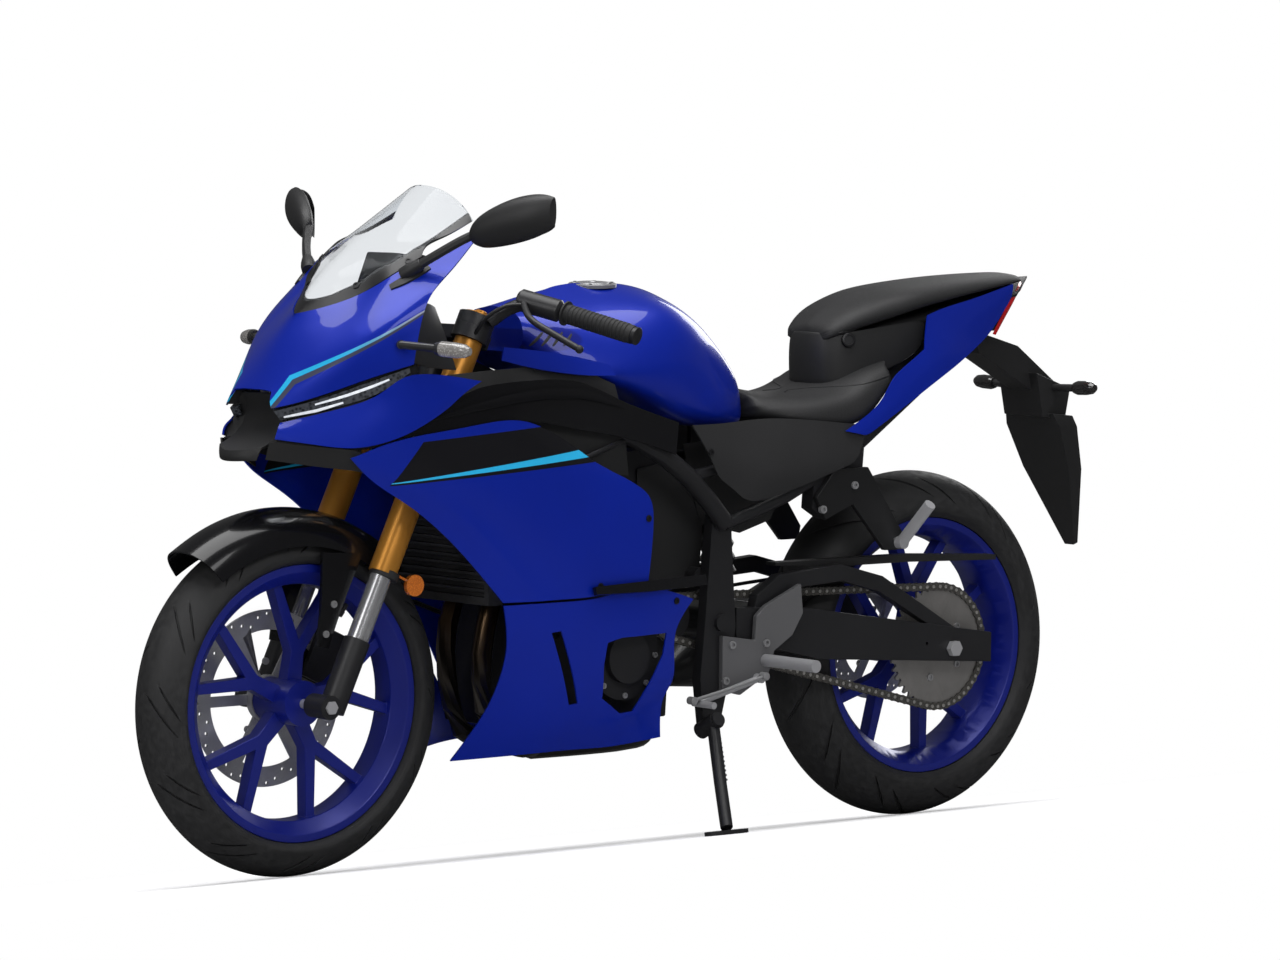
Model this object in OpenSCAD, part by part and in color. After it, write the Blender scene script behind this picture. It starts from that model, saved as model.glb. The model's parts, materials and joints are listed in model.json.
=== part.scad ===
/* [Chassis] */
// Distance between the two axles
wheelbase = 1380; // [1340:5:1420]
// Half of the fairing's width, which the body's widths follow
body_half_w = 200; // [190:1:215]
// Height of the bodywork, which the body's heights follow
body_h = 1000; // [980:5:1030]
// Angle of the steering axis from upright
rake = 25; // [24:0.5:26]
// Distance on the ground from the front tyre's contact to the steering axis
trail = 95; // [88:1:102]
// Lean to the left on the side stand
lean = 9; // [8:0.5:10]
// Radius of the round frame tubes
frame_tube_r = 17; // [14:0.5:19]

/* [Wheels] */
// Height of the front tyre above the rim flange
front_tyre_h = 61.5; // [58:0.5:68]
// Height of the rear tyre above the rim flange
rear_tyre_h = 82.5; // [78:0.5:88]
// Width of the front tyre
front_tyre_w = 113; // [108:1:118]
// Width of the rear tyre
rear_tyre_w = 146; // [140:1:150]
// Outer radius of the rim flanges
rim_flange_r = 231.5; // [229:0.5:234]
// Width of the front rim over its flanges
front_rim_w = 88; // [84:1:92]
// Width of the rear rim over its flanges
rear_rim_w = 118; // [114:1:122]
// Number of forked spokes in each wheel
spoke_count = 5; // [5:1:6]
// Thickness of the spokes along the axle
spoke_t = 26; // [20:1:32]
// Radius of the front axle
front_axle_r = 8; // [7:0.5:9]
// Radius of the rear axle
rear_axle_r = 8.5; // [7.5:0.5:9.5]

/* [Fork] */
// Distance of each fork leg from the middle
fork_half_w = 98; // [95:0.5:102]
// Radius of the outer fork tubes
fork_outer_r = 24; // [22:0.5:26]
// Radius of the sliding inner tubes
fork_inner_r = 18.5; // [17:0.5:20]
// Distance of the axle ahead of the fork legs
axle_lead = 20; // [16:1:24]
// Height of the outer tubes' lower end above the axle, along the fork
fork_outer_z = 246; // [235:1:255]
// Height of the fork's top above the axle, along the fork
fork_top_z = 716; // [710:1:722]

/* [Brakes] */
// Radius of the front brake disc
front_disc_r = 149; // [140:1:155]
// Radius of the rear brake disc
rear_disc_r = 110; // [104:1:116]
// Thickness of the brake discs
disc_t = 4.5; // [4:0.1:6]

/* [Drive] */
// Distance between the chain's pins
chain_pitch = 15.875; // [15:0.125:16.5]
// Number of teeth on the rear sprocket
rear_teeth = 43; // [40:1:45]
// Number of teeth on the front sprocket
front_teeth = 14; // [13:1:15]
// Thickness of the rear sprocket
sprocket_t = 5.5; // [5:0.1:6]
// Distance of the chain's middle from the middle of the wheel
chain_y = 88; // [87:0.5:90]

/* [Bodywork] */
// Thickness of the fairing panels
panel_wall = 3; // [2.5:0.1:4]
// Thickness of the windscreen
screen_wall = 3; // [2.5:0.1:4]

/* [Side stand] */
// Radius of the side stand's leg
stand_leg_r = 11; // [9:0.5:13]
// Distance of the side stand's foot to the left of the wheels
stand_foot_y = 262; // [250:2:275]
// Distance of the side stand's foot ahead of its pivot
stand_foot_lead = 55; // [45:1:65]

/* [Hidden] */

// Fits shared by the whole machine
running_gap = 0.3;
seat_gap = 0.3;
overrun = 2;
round_fn = 48;
fine_fn = 96;
post_fn = 24;
hole_fn = 16;
tube_sides = 10;
tube_steps = 2;
panel_steps = 2;
ring_steps = 3;
ring_turn = [0.31, 0.17, 0.93];

// Wheel sections
front_tyre_r = rim_flange_r + front_tyre_h;
rear_tyre_r = rim_flange_r + rear_tyre_h;
front_crown_r = front_tyre_w / 2;
rear_crown_r = rear_tyre_w / 2;
rim_wall = 7;
flange_t = 6;
flange_h = 13;
well_depth = 27;
bead_slope = 4;
hub_r = 38;
front_hub_half_w = 46;
rear_hub_half_w = 62;
spoke_waist_r_share = 0.42;
spoke_crotch_r_share = 0.52;
spoke_foot_angle = 24;
spoke_waist_angle = 9;
spoke_arm_angle = 17;
spoke_arm_half_angle = 2.5;

// Steering geometry in the fork's frame, worked out from the rake and the trail
steer_x = (trail - front_tyre_r * tan(rake)) * cos(rake);
leg_x = -axle_lead;
fork_bottom_z = 126;
lower_clamp_z = 472;
upper_clamp_z = 668;
lower_clamp_t = 32;
upper_clamp_t = 24;
head_r = 27;
stem_r = 15;
stem_bore_r = 8.5;
clamp_front = 30;

// Places on the body from shares of the wheelbase, half width and height
function place(s) = [s[0] * wheelbase, s[1] * body_half_w, s[2] * body_h];
function all_of(shares) = [for (s = shares) place(s)];
function flip(p) = [p[0], -p[1], p[2]];
function places(grid) = [for (row = grid) all_of(row)];

// Curve through a list of points, n steps to a span
function bend(p, i, t) =
    let (a = p[max(i - 1, 0)], b = p[i], c = p[i + 1], d = p[min(i + 2, len(p) - 1)])
    (2 * b + (c - a) * t + (2 * a - 5 * b + 4 * c - d) * t * t
        + (3 * b - a - 3 * c + d) * t * t * t) / 2;
function curve(p, n) = concat([for (i = [0 : len(p) - 2], k = [0 : n - 1]) bend(p, i, k / n)],
    [p[len(p) - 1]]);
function turned(g) = [for (j = [0 : len(g[0]) - 1]) [for (row = g) row[j]]];
function surface_of(g, n) = turned([for (col = turned([for (row = g) curve(row, n)])) curve(col, n)]);
function creased(row, n) = concat([row[0]], curve([for (k = [1 : len(row) - 1]) row[k]], n));
function both_sides(row) = concat([for (k = [len(row) - 1 : -1 : 1]) flip(row[k])], row);
function side_grid(shares) = surface_of(places(shares), panel_steps);
function wide_grid(shares) = surface_of([for (row = places(shares)) both_sides(row)], panel_steps);
function flat(g) = [for (row = g, p = row) p];

// Outward direction at a grid point
function facing(g, i, j) =
    let (u = g[min(i + 1, len(g) - 1)][j] - g[max(i - 1, 0)][j],
        v = g[i][min(j + 1, len(g[0]) - 1)] - g[i][max(j - 1, 0)],
        n = cross(u, v))
    n / norm(n);

// Closed panel of even thickness behind a grid of points
module panel(g, wall) {
    rows = len(g);
    cols = len(g[0]);
    back = [for (i = [0 : rows - 1]) [for (j = [0 : cols - 1]) g[i][j] - wall * facing(g, i, j)]];
    far = rows * cols;
    skin = [for (i = [0 : rows - 2], j = [0 : cols - 2])
        let (a = i * cols + j, b = a + 1, c = a + cols, d = c + 1)
        each [[a, b, d], [a, d, c], [far + a, far + d, far + b], [far + a, far + c, far + d]]];
    ends = [for (j = [0 : cols - 2])
        let (a = j, b = j + 1, c = (rows - 1) * cols + j, d = c + 1)
        each [[a, far + b, b], [a, far + a, far + b], [c, d, far + d], [c, far + d, far + c]]];
    sides = [for (i = [0 : rows - 2])
        let (a = i * cols, b = a + cols, c = a + cols - 1, d = c + cols)
        each [[a, b, far + b], [a, far + b, far + a], [c, far + d, d], [c, far + c, far + d]]];
    polyhedron(concat(flat(g), flat(back)), concat(skin, ends, sides));
}

// Closed solid through rings of points that run up the left side
module skinned(rings) {
    n = len(rings[0]);
    last = (len(rings) - 1) * n;
    walls = [for (i = [0 : len(rings) - 2], j = [0 : n - 1])
        let (a = i * n + j, b = i * n + (j + 1) % n, c = a + n, d = b + n)
        each [[a, b, d], [a, d, c]]];
    caps = [for (j = [1 : n - 2]) each [[0, j + 1, j], [last, last + j, last + j + 1]]];
    polyhedron(flat(rings), concat(walls, caps));
}

// Section of a body that is the same on both sides, from a row of shares:
// x, foot half width, foot height, belly half width, belly height,
// shoulder half width, shoulder height, crown height
function body_ring(r) =
    let (half = curve([place([r[0], 0, r[2]]), place([r[0], r[1], r[2]]), place([r[0], r[3], r[4]]),
            place([r[0], r[5], r[6]]), place([r[0], 0, r[7]])], ring_steps))
    concat(half, [for (k = [len(half) - 2 : -1 : 1]) flip(half[k])]);
module lofted(table) {
    skinned([for (row = curve(table, panel_steps)) body_ring(row)]);
}

// Round bar along a path of points
function ring_at(path, i, r, sides) =
    let (t = path[min(i + 1, len(path) - 1)] - path[max(i - 1, 0)],
        side = cross(t, ring_turn),
        n = side / norm(side),
        b = cross(t, n) / norm(t))
    [for (k = [0 : sides - 1])
        let (a = 360 * k / sides)
        path[i] + r * (cos(a) * n - sin(a) * b)];
module bar(path, r, sides = tube_sides) {
    skinned([for (i = [0 : len(path) - 1]) ring_at(path, i, r, sides)]);
}

// Flat piece across the machine with an outline of x and z shares
function side_points(s) = [for (q = s) [q[0] * wheelbase, q[1] * body_h]];
module slab(outline_shares, y_low, y_high) {
    translate([0, y_high, 0])
        rotate([90, 0, 0])
            linear_extrude(y_high - y_low)
                polygon(side_points(outline_shares));
}

module pair() {
    children();
    mirror([0, 1, 0])
        children();
}

// Cylinder along the axles, between two places across the machine
module across(x, z, r, y_low, y_high, fn = round_fn) {
    translate([x, y_high, z])
        rotate([90, 0, 0])
            cylinder(h = y_high - y_low, r = r, $fn = fn);
}

module through(share, r, y_low, y_high) {
    across(share[0] * wheelbase, share[1] * body_h, r, y_low, y_high);
}

// Frames of the wheels and of the fork
module at_front_axle() {
    translate([wheelbase, 0, front_tyre_r])
        children();
}
module at_rear_axle() {
    translate([0, 0, rear_tyre_r])
        children();
}
module on_fork() {
    at_front_axle()
        rotate([0, -rake, 0])
            children();
}

// The whole machine leans on its stand, its box centred on the origin
plate_tip_share = -0.307;
mirror_tip_shares = [0.805, 1.83, 1.112];
bar_end_shares = [0.67, 1.76, 0.904];
grip_r = 16.5;
park_lift = rear_crown_r * (1 - cos(lean));
park_x = -(wheelbase + front_tyre_r + plate_tip_share * wheelbase) / 2;
left_reach = mirror_tip_shares[1] * body_half_w * cos(lean) + mirror_tip_shares[2] * body_h * sin(lean);
right_reach = bar_end_shares[1] * body_half_w * cos(lean) - bar_end_shares[2] * body_h * sin(lean) + grip_r;
park_y = (right_reach - left_reach) / 2;
module parked() {
    translate([park_x, park_y, park_lift])
        rotate([-lean, 0, 0])
            children();
}

// Frame tubes on the left side
spar_shares = [[0.746, 0.265, 0.795], [0.688, 0.56, 0.775], [0.556, 0.75, 0.722],
    [0.464, 0.75, 0.648], [0.398, 0.7, 0.563]];
rail_r_share = 0.7;
brace_r_share = 0.6;
pivot_head_h = 8;
pivot_head_r = 15;
head_gap = 6;
rail_shares = [[0.398, 0.7, 0.563], [0.29, 0.66, 0.605], [0.165, 0.56, 0.68], [0.02, 0.44, 0.8],
    [-0.066, 0.34, 0.856]];
brace_shares = [[0.464, 0.75, 0.648], [0.37, 0.64, 0.664], [0.25, 0.58, 0.684], [0.14, 0.545, 0.701]];
tank_tube_share = [0.34, 0.625, 0.669];
seat_tube_share = [0.239, 0.575, 0.686];
tail_tube_share = [-0.06, 0.345, 0.853];
cross_r = 8;
post_r = 4;
post_gap = 0.9;
cowl_stay_shares = [[0.86, 0, 0.849], [0.848, 0, 0.925]];
cowl_stay_z = 585;
cowl_stay_r = 8;
cowl_stay_lead = 16;
stay_r = 4.5;
stay_gap = 0.7;
stay_pad_h = 10;
stay_sides = 8;
pivot_share = [0.399, 0.39];
pivot_r = 9;
pivot_in_y = 112;
pivot_out_y = 134;
pivot_plate_shares = [[0.384, 0.578], [0.414, 0.578], [0.418, 0.5], [0.424, 0.4], [0.432, 0.29],
    [0.424, 0.205], [0.4, 0.205], [0.384, 0.29], [0.374, 0.38]];
head_low_z = lower_clamp_z + lower_clamp_t + head_gap;
head_high_z = upper_clamp_z - head_gap;
spar_root_y = 32;
spar_root = fork_point(steer_x - head_r / 2, (head_low_z + head_high_z) / 2) + [0, spar_root_y, 0];

// Engine block, its covers and what is bolted to it
engine_half_w = 118;
cylinder_half_w = 104;
crankcase_shares = [[0.449, 0.225], [0.696, 0.225], [0.706, 0.3], [0.674, 0.435], [0.478, 0.44],
    [0.442, 0.38]];
cylinder_shares = [[0.507, 0.43], [0.652, 0.43], [0.714, 0.64], [0.58, 0.69]];
gearbox_left_y = 70;
sprocket_room = 55;
pivot_plate_top_share = 0.500;
lug_share = [0.418, 0.47];
lug_r = 16;
lug_arm_shares = [[0.412, 0.462], [0.412, 0.48], [0.52, 0.48], [0.52, 0.42], [0.47, 0.42]];
lug_arm_half_w = 60;
airbox_shares = [[0.53, 0.44], [0.575, 0.68], [0.5, 0.695], [0.44, 0.64], [0.425, 0.52], [0.44, 0.475]];
airbox_half_w = 80;
hose_share = [0.64, 0.6];
hose_x = hose_share[0] * wheelbase;
hose_y = 60;
hose_z = hose_share[1] * body_h;
hose_r = 14;
shaft_r = 14;
stator_share = [0.567, 0.345];
stator_r = 74;
clutch_share = [0.551, 0.345];
clutch_r = 80;
cover_depth = 36;
cover_boss_h = 14;
cover_boss_share = 0.6;
radiator_share = [0.748, 0.445];
radiator_x = radiator_share[0] * wheelbase;
radiator_z = radiator_share[1] * body_h;
radiator_half_w = 135;
radiator_h = 220;
radiator_t = 30;
tank_rim = 14;
louvre_count = 14;
louvre_depth = 8;
louvre_step = (radiator_h - 2 * tank_rim) / louvre_count;
louvre_gap_share = 0.6;

// Exhaust, from the ports on the cylinder head's front face
port_y = 48;
port_share = 0.35;
port_run = 45;
port_flange_r = 24;
port_flange_t = 10;
header_r = 17;
link_r = 21;
port_low = side_points(cylinder_shares)[1];
port_high = side_points(cylinder_shares)[2];
port_normal = [port_high[1] - port_low[1], port_low[0] - port_high[0]] / norm(port_high - port_low);
function port_at(y, out) =
    let (p = port_low + (port_high - port_low) * port_share + out * port_normal)
    [p[0], y, p[1]];
header_shares = [[0.728, 1.1, 0.4], [0.732, 1, 0.31], [0.712, 0.9, 0.215], [0.66, 0.7, 0.186]];
collector_share = [0.61, -0.05, 0.182];
link_shares = [[0.622, -0.05, 0.18], [0.52, -0.15, 0.176], [0.43, -0.36, 0.172], [0.374, -0.58, 0.178]];
link_lead = 50;
muffler_front_share = [0.3, -0.9, 0.262];
muffler_back_share = [0.05, -1.06, 0.398];
muffler_l = norm(place(muffler_back_share) - place(muffler_front_share));
muffler_dir = (place(muffler_back_share) - place(muffler_front_share)) / muffler_l;
muffler_r = 50;
muffler_cone = 60;
muffler_taper = 25;
muffler_lip = 12;
outlet_r = 24;
outlet_depth = 60;

// Turns the Z axis to run from one point to another
module along(p, q) {
    d = q - p;
    translate(p)
        rotate([0, acos(d[2] / norm(d)), atan2(d[1], d[0])])
            children();
}

// Swingarm, its axle and the rear brake
beam_in_y = 101;
beam_out_y = 131;
arch_inset = 4;
beam_shares = [[0.371, 0.414], [0.249, 0.404], [-0.07, 0.338], [-0.07, 0.284], [0.23, 0.312], [0.371, 0.356]];
arch_shares = [[0.34, 0.4], [0.335, 0.432], [0.298, 0.466], [0.192, 0.478], [0.12, 0.452], [-0.02, 0.34],
    [0.014, 0.34], [0.125, 0.424], [0.19, 0.448], [0.28, 0.44], [0.305, 0.4]];
yoke_top_share = 0.412;
yoke_shares = [[0.3, 0.338], [0.3, yoke_top_share], [0.399, yoke_top_share], [0.399, 0.368], [0.371, 0.36]];
pivot_tube_r = 24;
spool_share = [0.045, 0.326];
spool_r = 3;
spool_depth = 15;
shock_x_share = 0.318;
shock_eye_r = 16;
shock_eye_half_w = 18;
shock_rod_r = 12;
shock_low = [shock_x_share * wheelbase, 0, yoke_top_share * body_h + shock_eye_r + seat_gap];
shock_high = [tank_tube_share[0] * wheelbase, 0, tank_tube_share[2] * body_h];
shock_l = norm(shock_high - shock_low) - cross_r - seat_gap;
shock_eye_h = 30;
spring_r = 32;
wire_r = 6;
coil_count = 7;
coil_step = (shock_l - 2 * shock_eye_h) / (2 * coil_count);
axle_nut_h = 12;
axle_nut_r = 15;
spacer_r = 13;
rear_stack_y = 94;
rear_caliper_shares = [[0.022, 0.345], [0.075, 0.345], [0.082, 0.425], [0.03, 0.432]];
rear_caliper_in_y = 66;
rear_disc_y = 82;
disc_room = 3;
disc_band = 34;
disc_hole_r = 3;
disc_hole_groups = 12;
disc_hole_shares = [[0, 0.2], [0.25, 0.45], [0.5, 0.7], [0.75, 0.35]];
carrier_arms = 6;
carrier_arm_w = 18;
carrier_lip = 16;
front_disc_y = 60;
front_stack_y = 68;
first_spoke_angle = 98;

// Chain loop round the two sprockets, by distance along the loop
front_sprocket_share = [0.453, 0.4];
front_sprocket_x = front_sprocket_share[0] * wheelbase;
front_sprocket_z = front_sprocket_share[1] * body_h;
rear_pitch_r = chain_pitch / 2 / sin(180 / rear_teeth);
front_pitch_r = chain_pitch / 2 / sin(180 / front_teeth);
tooth_h = 4;
tooth_root = 5;
plate_t = 3;
plate_h = 7.5;
plate_waist = 5.5;
plate_gap = 0.45;
plate_in_y = sprocket_t / 2 + plate_gap;
strip_bite = 0.5;
plate_out_y = plate_in_y + plate_t;
roller_r = 5;
roller_waist = 3.5;
strip_skip = 7;
chain_run = [front_sprocket_x, front_sprocket_z - rear_tyre_r];
chain_slope = atan2(chain_run[1], chain_run[0]);
chain_splay = asin((rear_pitch_r - front_pitch_r) / norm(chain_run));
straight_l = norm(chain_run) * cos(chain_splay);
rear_wrap_l = rear_pitch_r * (180 + 2 * chain_splay) * PI / 180;
front_wrap_l = front_pitch_r * (180 - 2 * chain_splay) * PI / 180;
loop_l = rear_wrap_l + front_wrap_l + 2 * straight_l;
link_count = round(loop_l / chain_pitch);
run_links = floor(straight_l / chain_pitch);
run_low_s = rear_wrap_l;
run_high_s = rear_wrap_l + straight_l + front_wrap_l;
high_angle = chain_slope + 90 - chain_splay;
low_angle = chain_slope - 90 + chain_splay;
function loop_at(s, out) =
    s < rear_wrap_l
    ? [0, rear_tyre_r] + polar(rear_pitch_r + out, high_angle + s / rear_pitch_r * 180 / PI)
    : s < rear_wrap_l + straight_l
    ? [0, rear_tyre_r] + polar(rear_pitch_r + out, low_angle) + polar(s - rear_wrap_l, low_angle + 90)
    : s < run_high_s
    ? [front_sprocket_x, front_sprocket_z] + polar(front_pitch_r + out,
        low_angle + (s - rear_wrap_l - straight_l) / front_pitch_r * 180 / PI)
    : [front_sprocket_x, front_sprocket_z] + polar(front_pitch_r + out, high_angle)
        + polar(s - run_high_s, high_angle + 90);
guard_in_y = 78;
chain_guard_shares = [[0.29, 0.486], [0.06, 0.486], [-0.094, 0.476], [-0.094, 0.466], [0.06, 0.472],
    [0.18, 0.472], [0.29, 0.48]];

// Tank, seats and tail: x, foot half width, foot height, belly half width,
// belly height, shoulder half width, shoulder height, crown height
tank_shares = [[0.69, 0.3, 0.868, 0.42, 0.89, 0.34, 0.93, 0.944],
    [0.64, 0.54, 0.834, 0.62, 0.852, 0.44, 0.926, 0.964],
    [0.58, 0.66, 0.812, 0.77, 0.842, 0.52, 0.926, 0.978],
    [0.507, 0.66, 0.776, 0.82, 0.846, 0.6, 0.936, 0.983],
    [0.449, 0.6, 0.745, 0.74, 0.83, 0.58, 0.925, 0.968],
    [0.391, 0.52, 0.728, 0.6, 0.78, 0.46, 0.88, 0.925],
    [0.34, 0.38, 0.728, 0.42, 0.76, 0.34, 0.82, 0.856],
    [0.322, 0.24, 0.738, 0.28, 0.76, 0.22, 0.79, 0.806]];
seat_shares = [[0.318, 0.36, 0.74, 0.42, 0.762, 0.3, 0.785, 0.796],
    [0.29, 0.48, 0.732, 0.56, 0.752, 0.4, 0.776, 0.787],
    [0.239, 0.58, 0.722, 0.66, 0.744, 0.52, 0.772, 0.78],
    [0.181, 0.62, 0.72, 0.68, 0.752, 0.54, 0.784, 0.792],
    [0.138, 0.6, 0.745, 0.65, 0.785, 0.5, 0.815, 0.824],
    [0.098, 0.54, 0.8, 0.58, 0.82, 0.42, 0.836, 0.842]];
pillion_shares = [[0.176, 0.24, 0.87, 0.28, 0.88, 0.22, 0.89, 0.896],
    [0.145, 0.34, 0.886, 0.4, 0.904, 0.3, 0.922, 0.93],
    [0.09, 0.42, 0.906, 0.48, 0.928, 0.36, 0.948, 0.956],
    [0.036, 0.46, 0.926, 0.52, 0.944, 0.4, 0.962, 0.97],
    [-0.06, 0.42, 0.95, 0.46, 0.962, 0.34, 0.976, 0.982],
    [-0.15, 0.3, 0.966, 0.34, 0.973, 0.24, 0.982, 0.986],
    [-0.168, 0.24, 0.969, 0.26, 0.974, 0.18, 0.98, 0.983]];
tail_centre_shares = [[0.172, 0.22, 0.83, 0.27, 0.846, 0.23, 0.8635, 0.8675],
    [0.1, 0.34, 0.852, 0.39, 0.872, 0.36, 0.8955, 0.8995],
    [0.02, 0.38, 0.868, 0.43, 0.892, 0.4, 0.9155, 0.9195],
    [-0.06, 0.33, 0.878, 0.37, 0.91, 0.34, 0.9395, 0.9455],
    [-0.115, 0.22, 0.89, 0.26, 0.925, 0.22, 0.9555, 0.9595]];

// Thin panels: rows run down and columns run back, or in to out over the nose
tail_panel_shares = [[[0.201, 0.74, 0.716], [0.138, 0.71, 0.76], [0.109, 0.68, 0.812], [0.051, 0.63, 0.855],
        [0.039, 0.575, 0.915], [-0.043, 0.485, 0.938], [-0.141, 0.36, 0.966]],
    [[0.183, 0.755, 0.711], [0.124, 0.725, 0.752], [0.076, 0.69, 0.8], [0.018, 0.63, 0.842],
        [-0.01, 0.56, 0.88], [-0.07, 0.475, 0.91], [-0.14, 0.365, 0.955]],
    [[0.165, 0.75, 0.706], [0.109, 0.72, 0.745], [0.043, 0.66, 0.79], [-0.014, 0.58, 0.825],
        [-0.058, 0.5, 0.855], [-0.096, 0.43, 0.885], [-0.138, 0.36, 0.94]]];
lamp_wall = 14;
tail_light_shares = [[[-0.215, 0, 0.974], [-0.179, 0.17, 0.964], [-0.141, 0.342, 0.946], [-0.117, 0.342,
    0.9]],
    [[-0.203, 0, 0.95], [-0.167, 0.16, 0.94], [-0.131, 0.312, 0.922], [-0.107, 0.312, 0.876]]];
side_cover_shares = [[[0.464, 0.8, 0.738], [0.397, 0.73, 0.738], [0.312, 0.705, 0.744], [0.16, 0.709, 0.724]],
    [[0.44, 0.82, 0.69], [0.391, 0.82, 0.668], [0.318, 0.82, 0.65], [0.18, 0.755, 0.67]],
    [[0.42, 0.8, 0.645], [0.391, 0.8, 0.62], [0.351, 0.8, 0.598], [0.196, 0.75, 0.655]]];
nose_shares = [[[0.993, 0, 0.937], [0.955, 0.31, 0.958], [0.928, 0.46, 0.98], [0.909, 0.59, 1.003],
        [0.87, 0.7, 1.035], [0.81, 0.86, 1.068]],
    [[1.016, 0, 0.895], [0.997, 0.3, 0.905], [0.975, 0.5, 0.918], [0.953, 0.68, 0.935],
        [0.914, 0.83, 0.968], [0.855, 0.92, 1.015]],
    [[1.035, 0, 0.855], [1.022, 0.31, 0.862], [1.004, 0.53, 0.87], [0.98, 0.73, 0.885],
        [0.946, 0.88, 0.915], [0.899, 0.96, 0.962]],
    [[1.052, 0, 0.815], [1.052, 0.26, 0.813], [1.059, 0.32, 0.786], [1.014, 0.575, 0.807],
        [0.967, 0.79, 0.835], [0.919, 0.98, 0.859]]];
cheek_shares = [[[1.049, 0.35, 0.762], [1.009, 0.6, 0.78], [0.962, 0.865, 0.805], [0.922, 0.985, 0.846],
        [0.819, 1, 0.828]],
    [[1.056, 0.38, 0.75], [1.018, 0.62, 0.756], [0.967, 0.89, 0.768], [0.913, 1, 0.798],
        [0.844, 1.015, 0.812]],
    [[1.059, 0.375, 0.736], [1.025, 0.62, 0.728], [0.984, 0.84, 0.722], [0.928, 0.99, 0.744],
        [0.87, 1, 0.784]]];
lamp_shares = [[[1.054, 0.31, 0.781], [1.01, 0.56, 0.802], [0.963, 0.775, 0.83], [0.922, 0.95, 0.853]],
    [[1.046, 0.33, 0.766], [1.006, 0.585, 0.784], [0.958, 0.84, 0.809], [0.922, 0.96, 0.846]]];
screen_shares = [[[0.803, 0, 1.15], [0.797, 0.21, 1.144], [0.791, 0.38, 1.128], [0.787, 0.5, 1.108],
        [0.784, 0.56, 1.092]],
    [[0.873, 0, 1.082], [0.862, 0.23, 1.083], [0.851, 0.39, 1.08], [0.839, 0.52, 1.076],
        [0.826, 0.61, 1.07]],
    [[0.942, 0, 1.006], [0.924, 0.24, 1.013], [0.909, 0.39, 1.022], [0.893, 0.51, 1.034],
        [0.862, 0.62, 1.054]],
    [[0.991, 0, 0.9364], [0.955, 0.3, 0.9574], [0.929, 0.45, 0.9794], [0.911, 0.575, 1.0024],
        [0.873, 0.66, 1.0344]]];
duct_shares = [[[1.042, 0, 0.808], [1.043, 0.25, 0.806]], [[1.03, 0, 0.772], [1.034, 0.27, 0.77]],
    [[1.046, 0, 0.735], [1.05, 0.3, 0.735]], [[1.09, 0, 0.714], [1.07, 0.3, 0.722]],
    [[1.091, 0, 0.697], [1.074, 0.26, 0.7]]];
lip_shares = [[[1.064, 0.35, 0.7315], [1.024, 0.61, 0.7245], [0.985, 0.82, 0.7185], [0.965, 0.86, 0.7015]],
    [[1.066, 0.31, 0.702], [1.014, 0.6, 0.69], [0.98, 0.8, 0.684], [0.962, 0.84, 0.672]]];
fairing_shares = [[[0.995, 0.825, 0.706], [0.984, 0.856, 0.7115], [0.937, 0.975, 0.736], [0.841, 1, 0.752],
        [0.747, 1.005, 0.762], [0.657, 0.98, 0.696]],
    [[0.964, 0.86, 0.664], [0.944, 0.935, 0.672], [0.899, 0.985, 0.69], [0.819, 1.02, 0.7],
        [0.732, 1.03, 0.705], [0.616, 1, 0.668]],
    [[0.906, 0.89, 0.618], [0.874, 0.97, 0.624], [0.838, 0.995, 0.63], [0.783, 1.04, 0.63],
        [0.696, 1.05, 0.63], [0.572, 1, 0.64]],
    [[0.844, 0.93, 0.548], [0.806, 1.005, 0.554], [0.775, 1.015, 0.552], [0.735, 1.04, 0.545],
        [0.667, 1.055, 0.54], [0.548, 1, 0.6]],
    [[0.781, 0.975, 0.456], [0.732, 1.025, 0.456], [0.712, 1.03, 0.4565], [0.69, 1.035, 0.457],
        [0.639, 1.04, 0.459], [0.558, 1.005, 0.476]]];
shroud_shares = [[[0.752, 0.705, 0.88], [0.7, 0.715, 0.873], [0.64, 0.74, 0.86], [0.6, 0.81, 0.847]],
    [[0.756, 0.715, 0.858], [0.705, 0.745, 0.842], [0.64, 0.78, 0.83], [0.592, 0.84, 0.828]]];
vent_shares = [[0.7095, 0.401], [0.6945, 0.403], [0.657, 0.276], [0.67, 0.274]];
window_shares = [[0.6227, 0.3775], [0.601, 0.3847], [0.521, 0.386], [0.525, 0.349], [0.562, 0.253],
    [0.5845, 0.251], [0.6202, 0.2807], [0.6263, 0.3388]];
cowl_shares = [[[0.78, 0.975, 0.451], [0.71, 1.015, 0.452], [0.639, 1.025, 0.454], [0.558, 0.995, 0.47],
        [0.478, 0.95, 0.441]],
    [[0.771, 0.95, 0.385], [0.703, 1, 0.385], [0.63, 1.02, 0.385], [0.565, 1, 0.388],
        [0.507, 0.93, 0.386]],
    [[0.77, 0.825, 0.32], [0.699, 0.94, 0.315], [0.63, 0.97, 0.31], [0.565, 0.94, 0.306],
        [0.5, 0.89, 0.308]],
    [[0.774, 0.625, 0.255], [0.699, 0.8, 0.245], [0.638, 0.84, 0.24], [0.572, 0.825, 0.238],
        [0.511, 0.8, 0.266]],
    [[0.787, 0.31, 0.178], [0.709, 0.56, 0.186], [0.645, 0.64, 0.19], [0.578, 0.675, 0.19],
        [0.5, 0.7, 0.2]]];
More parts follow.
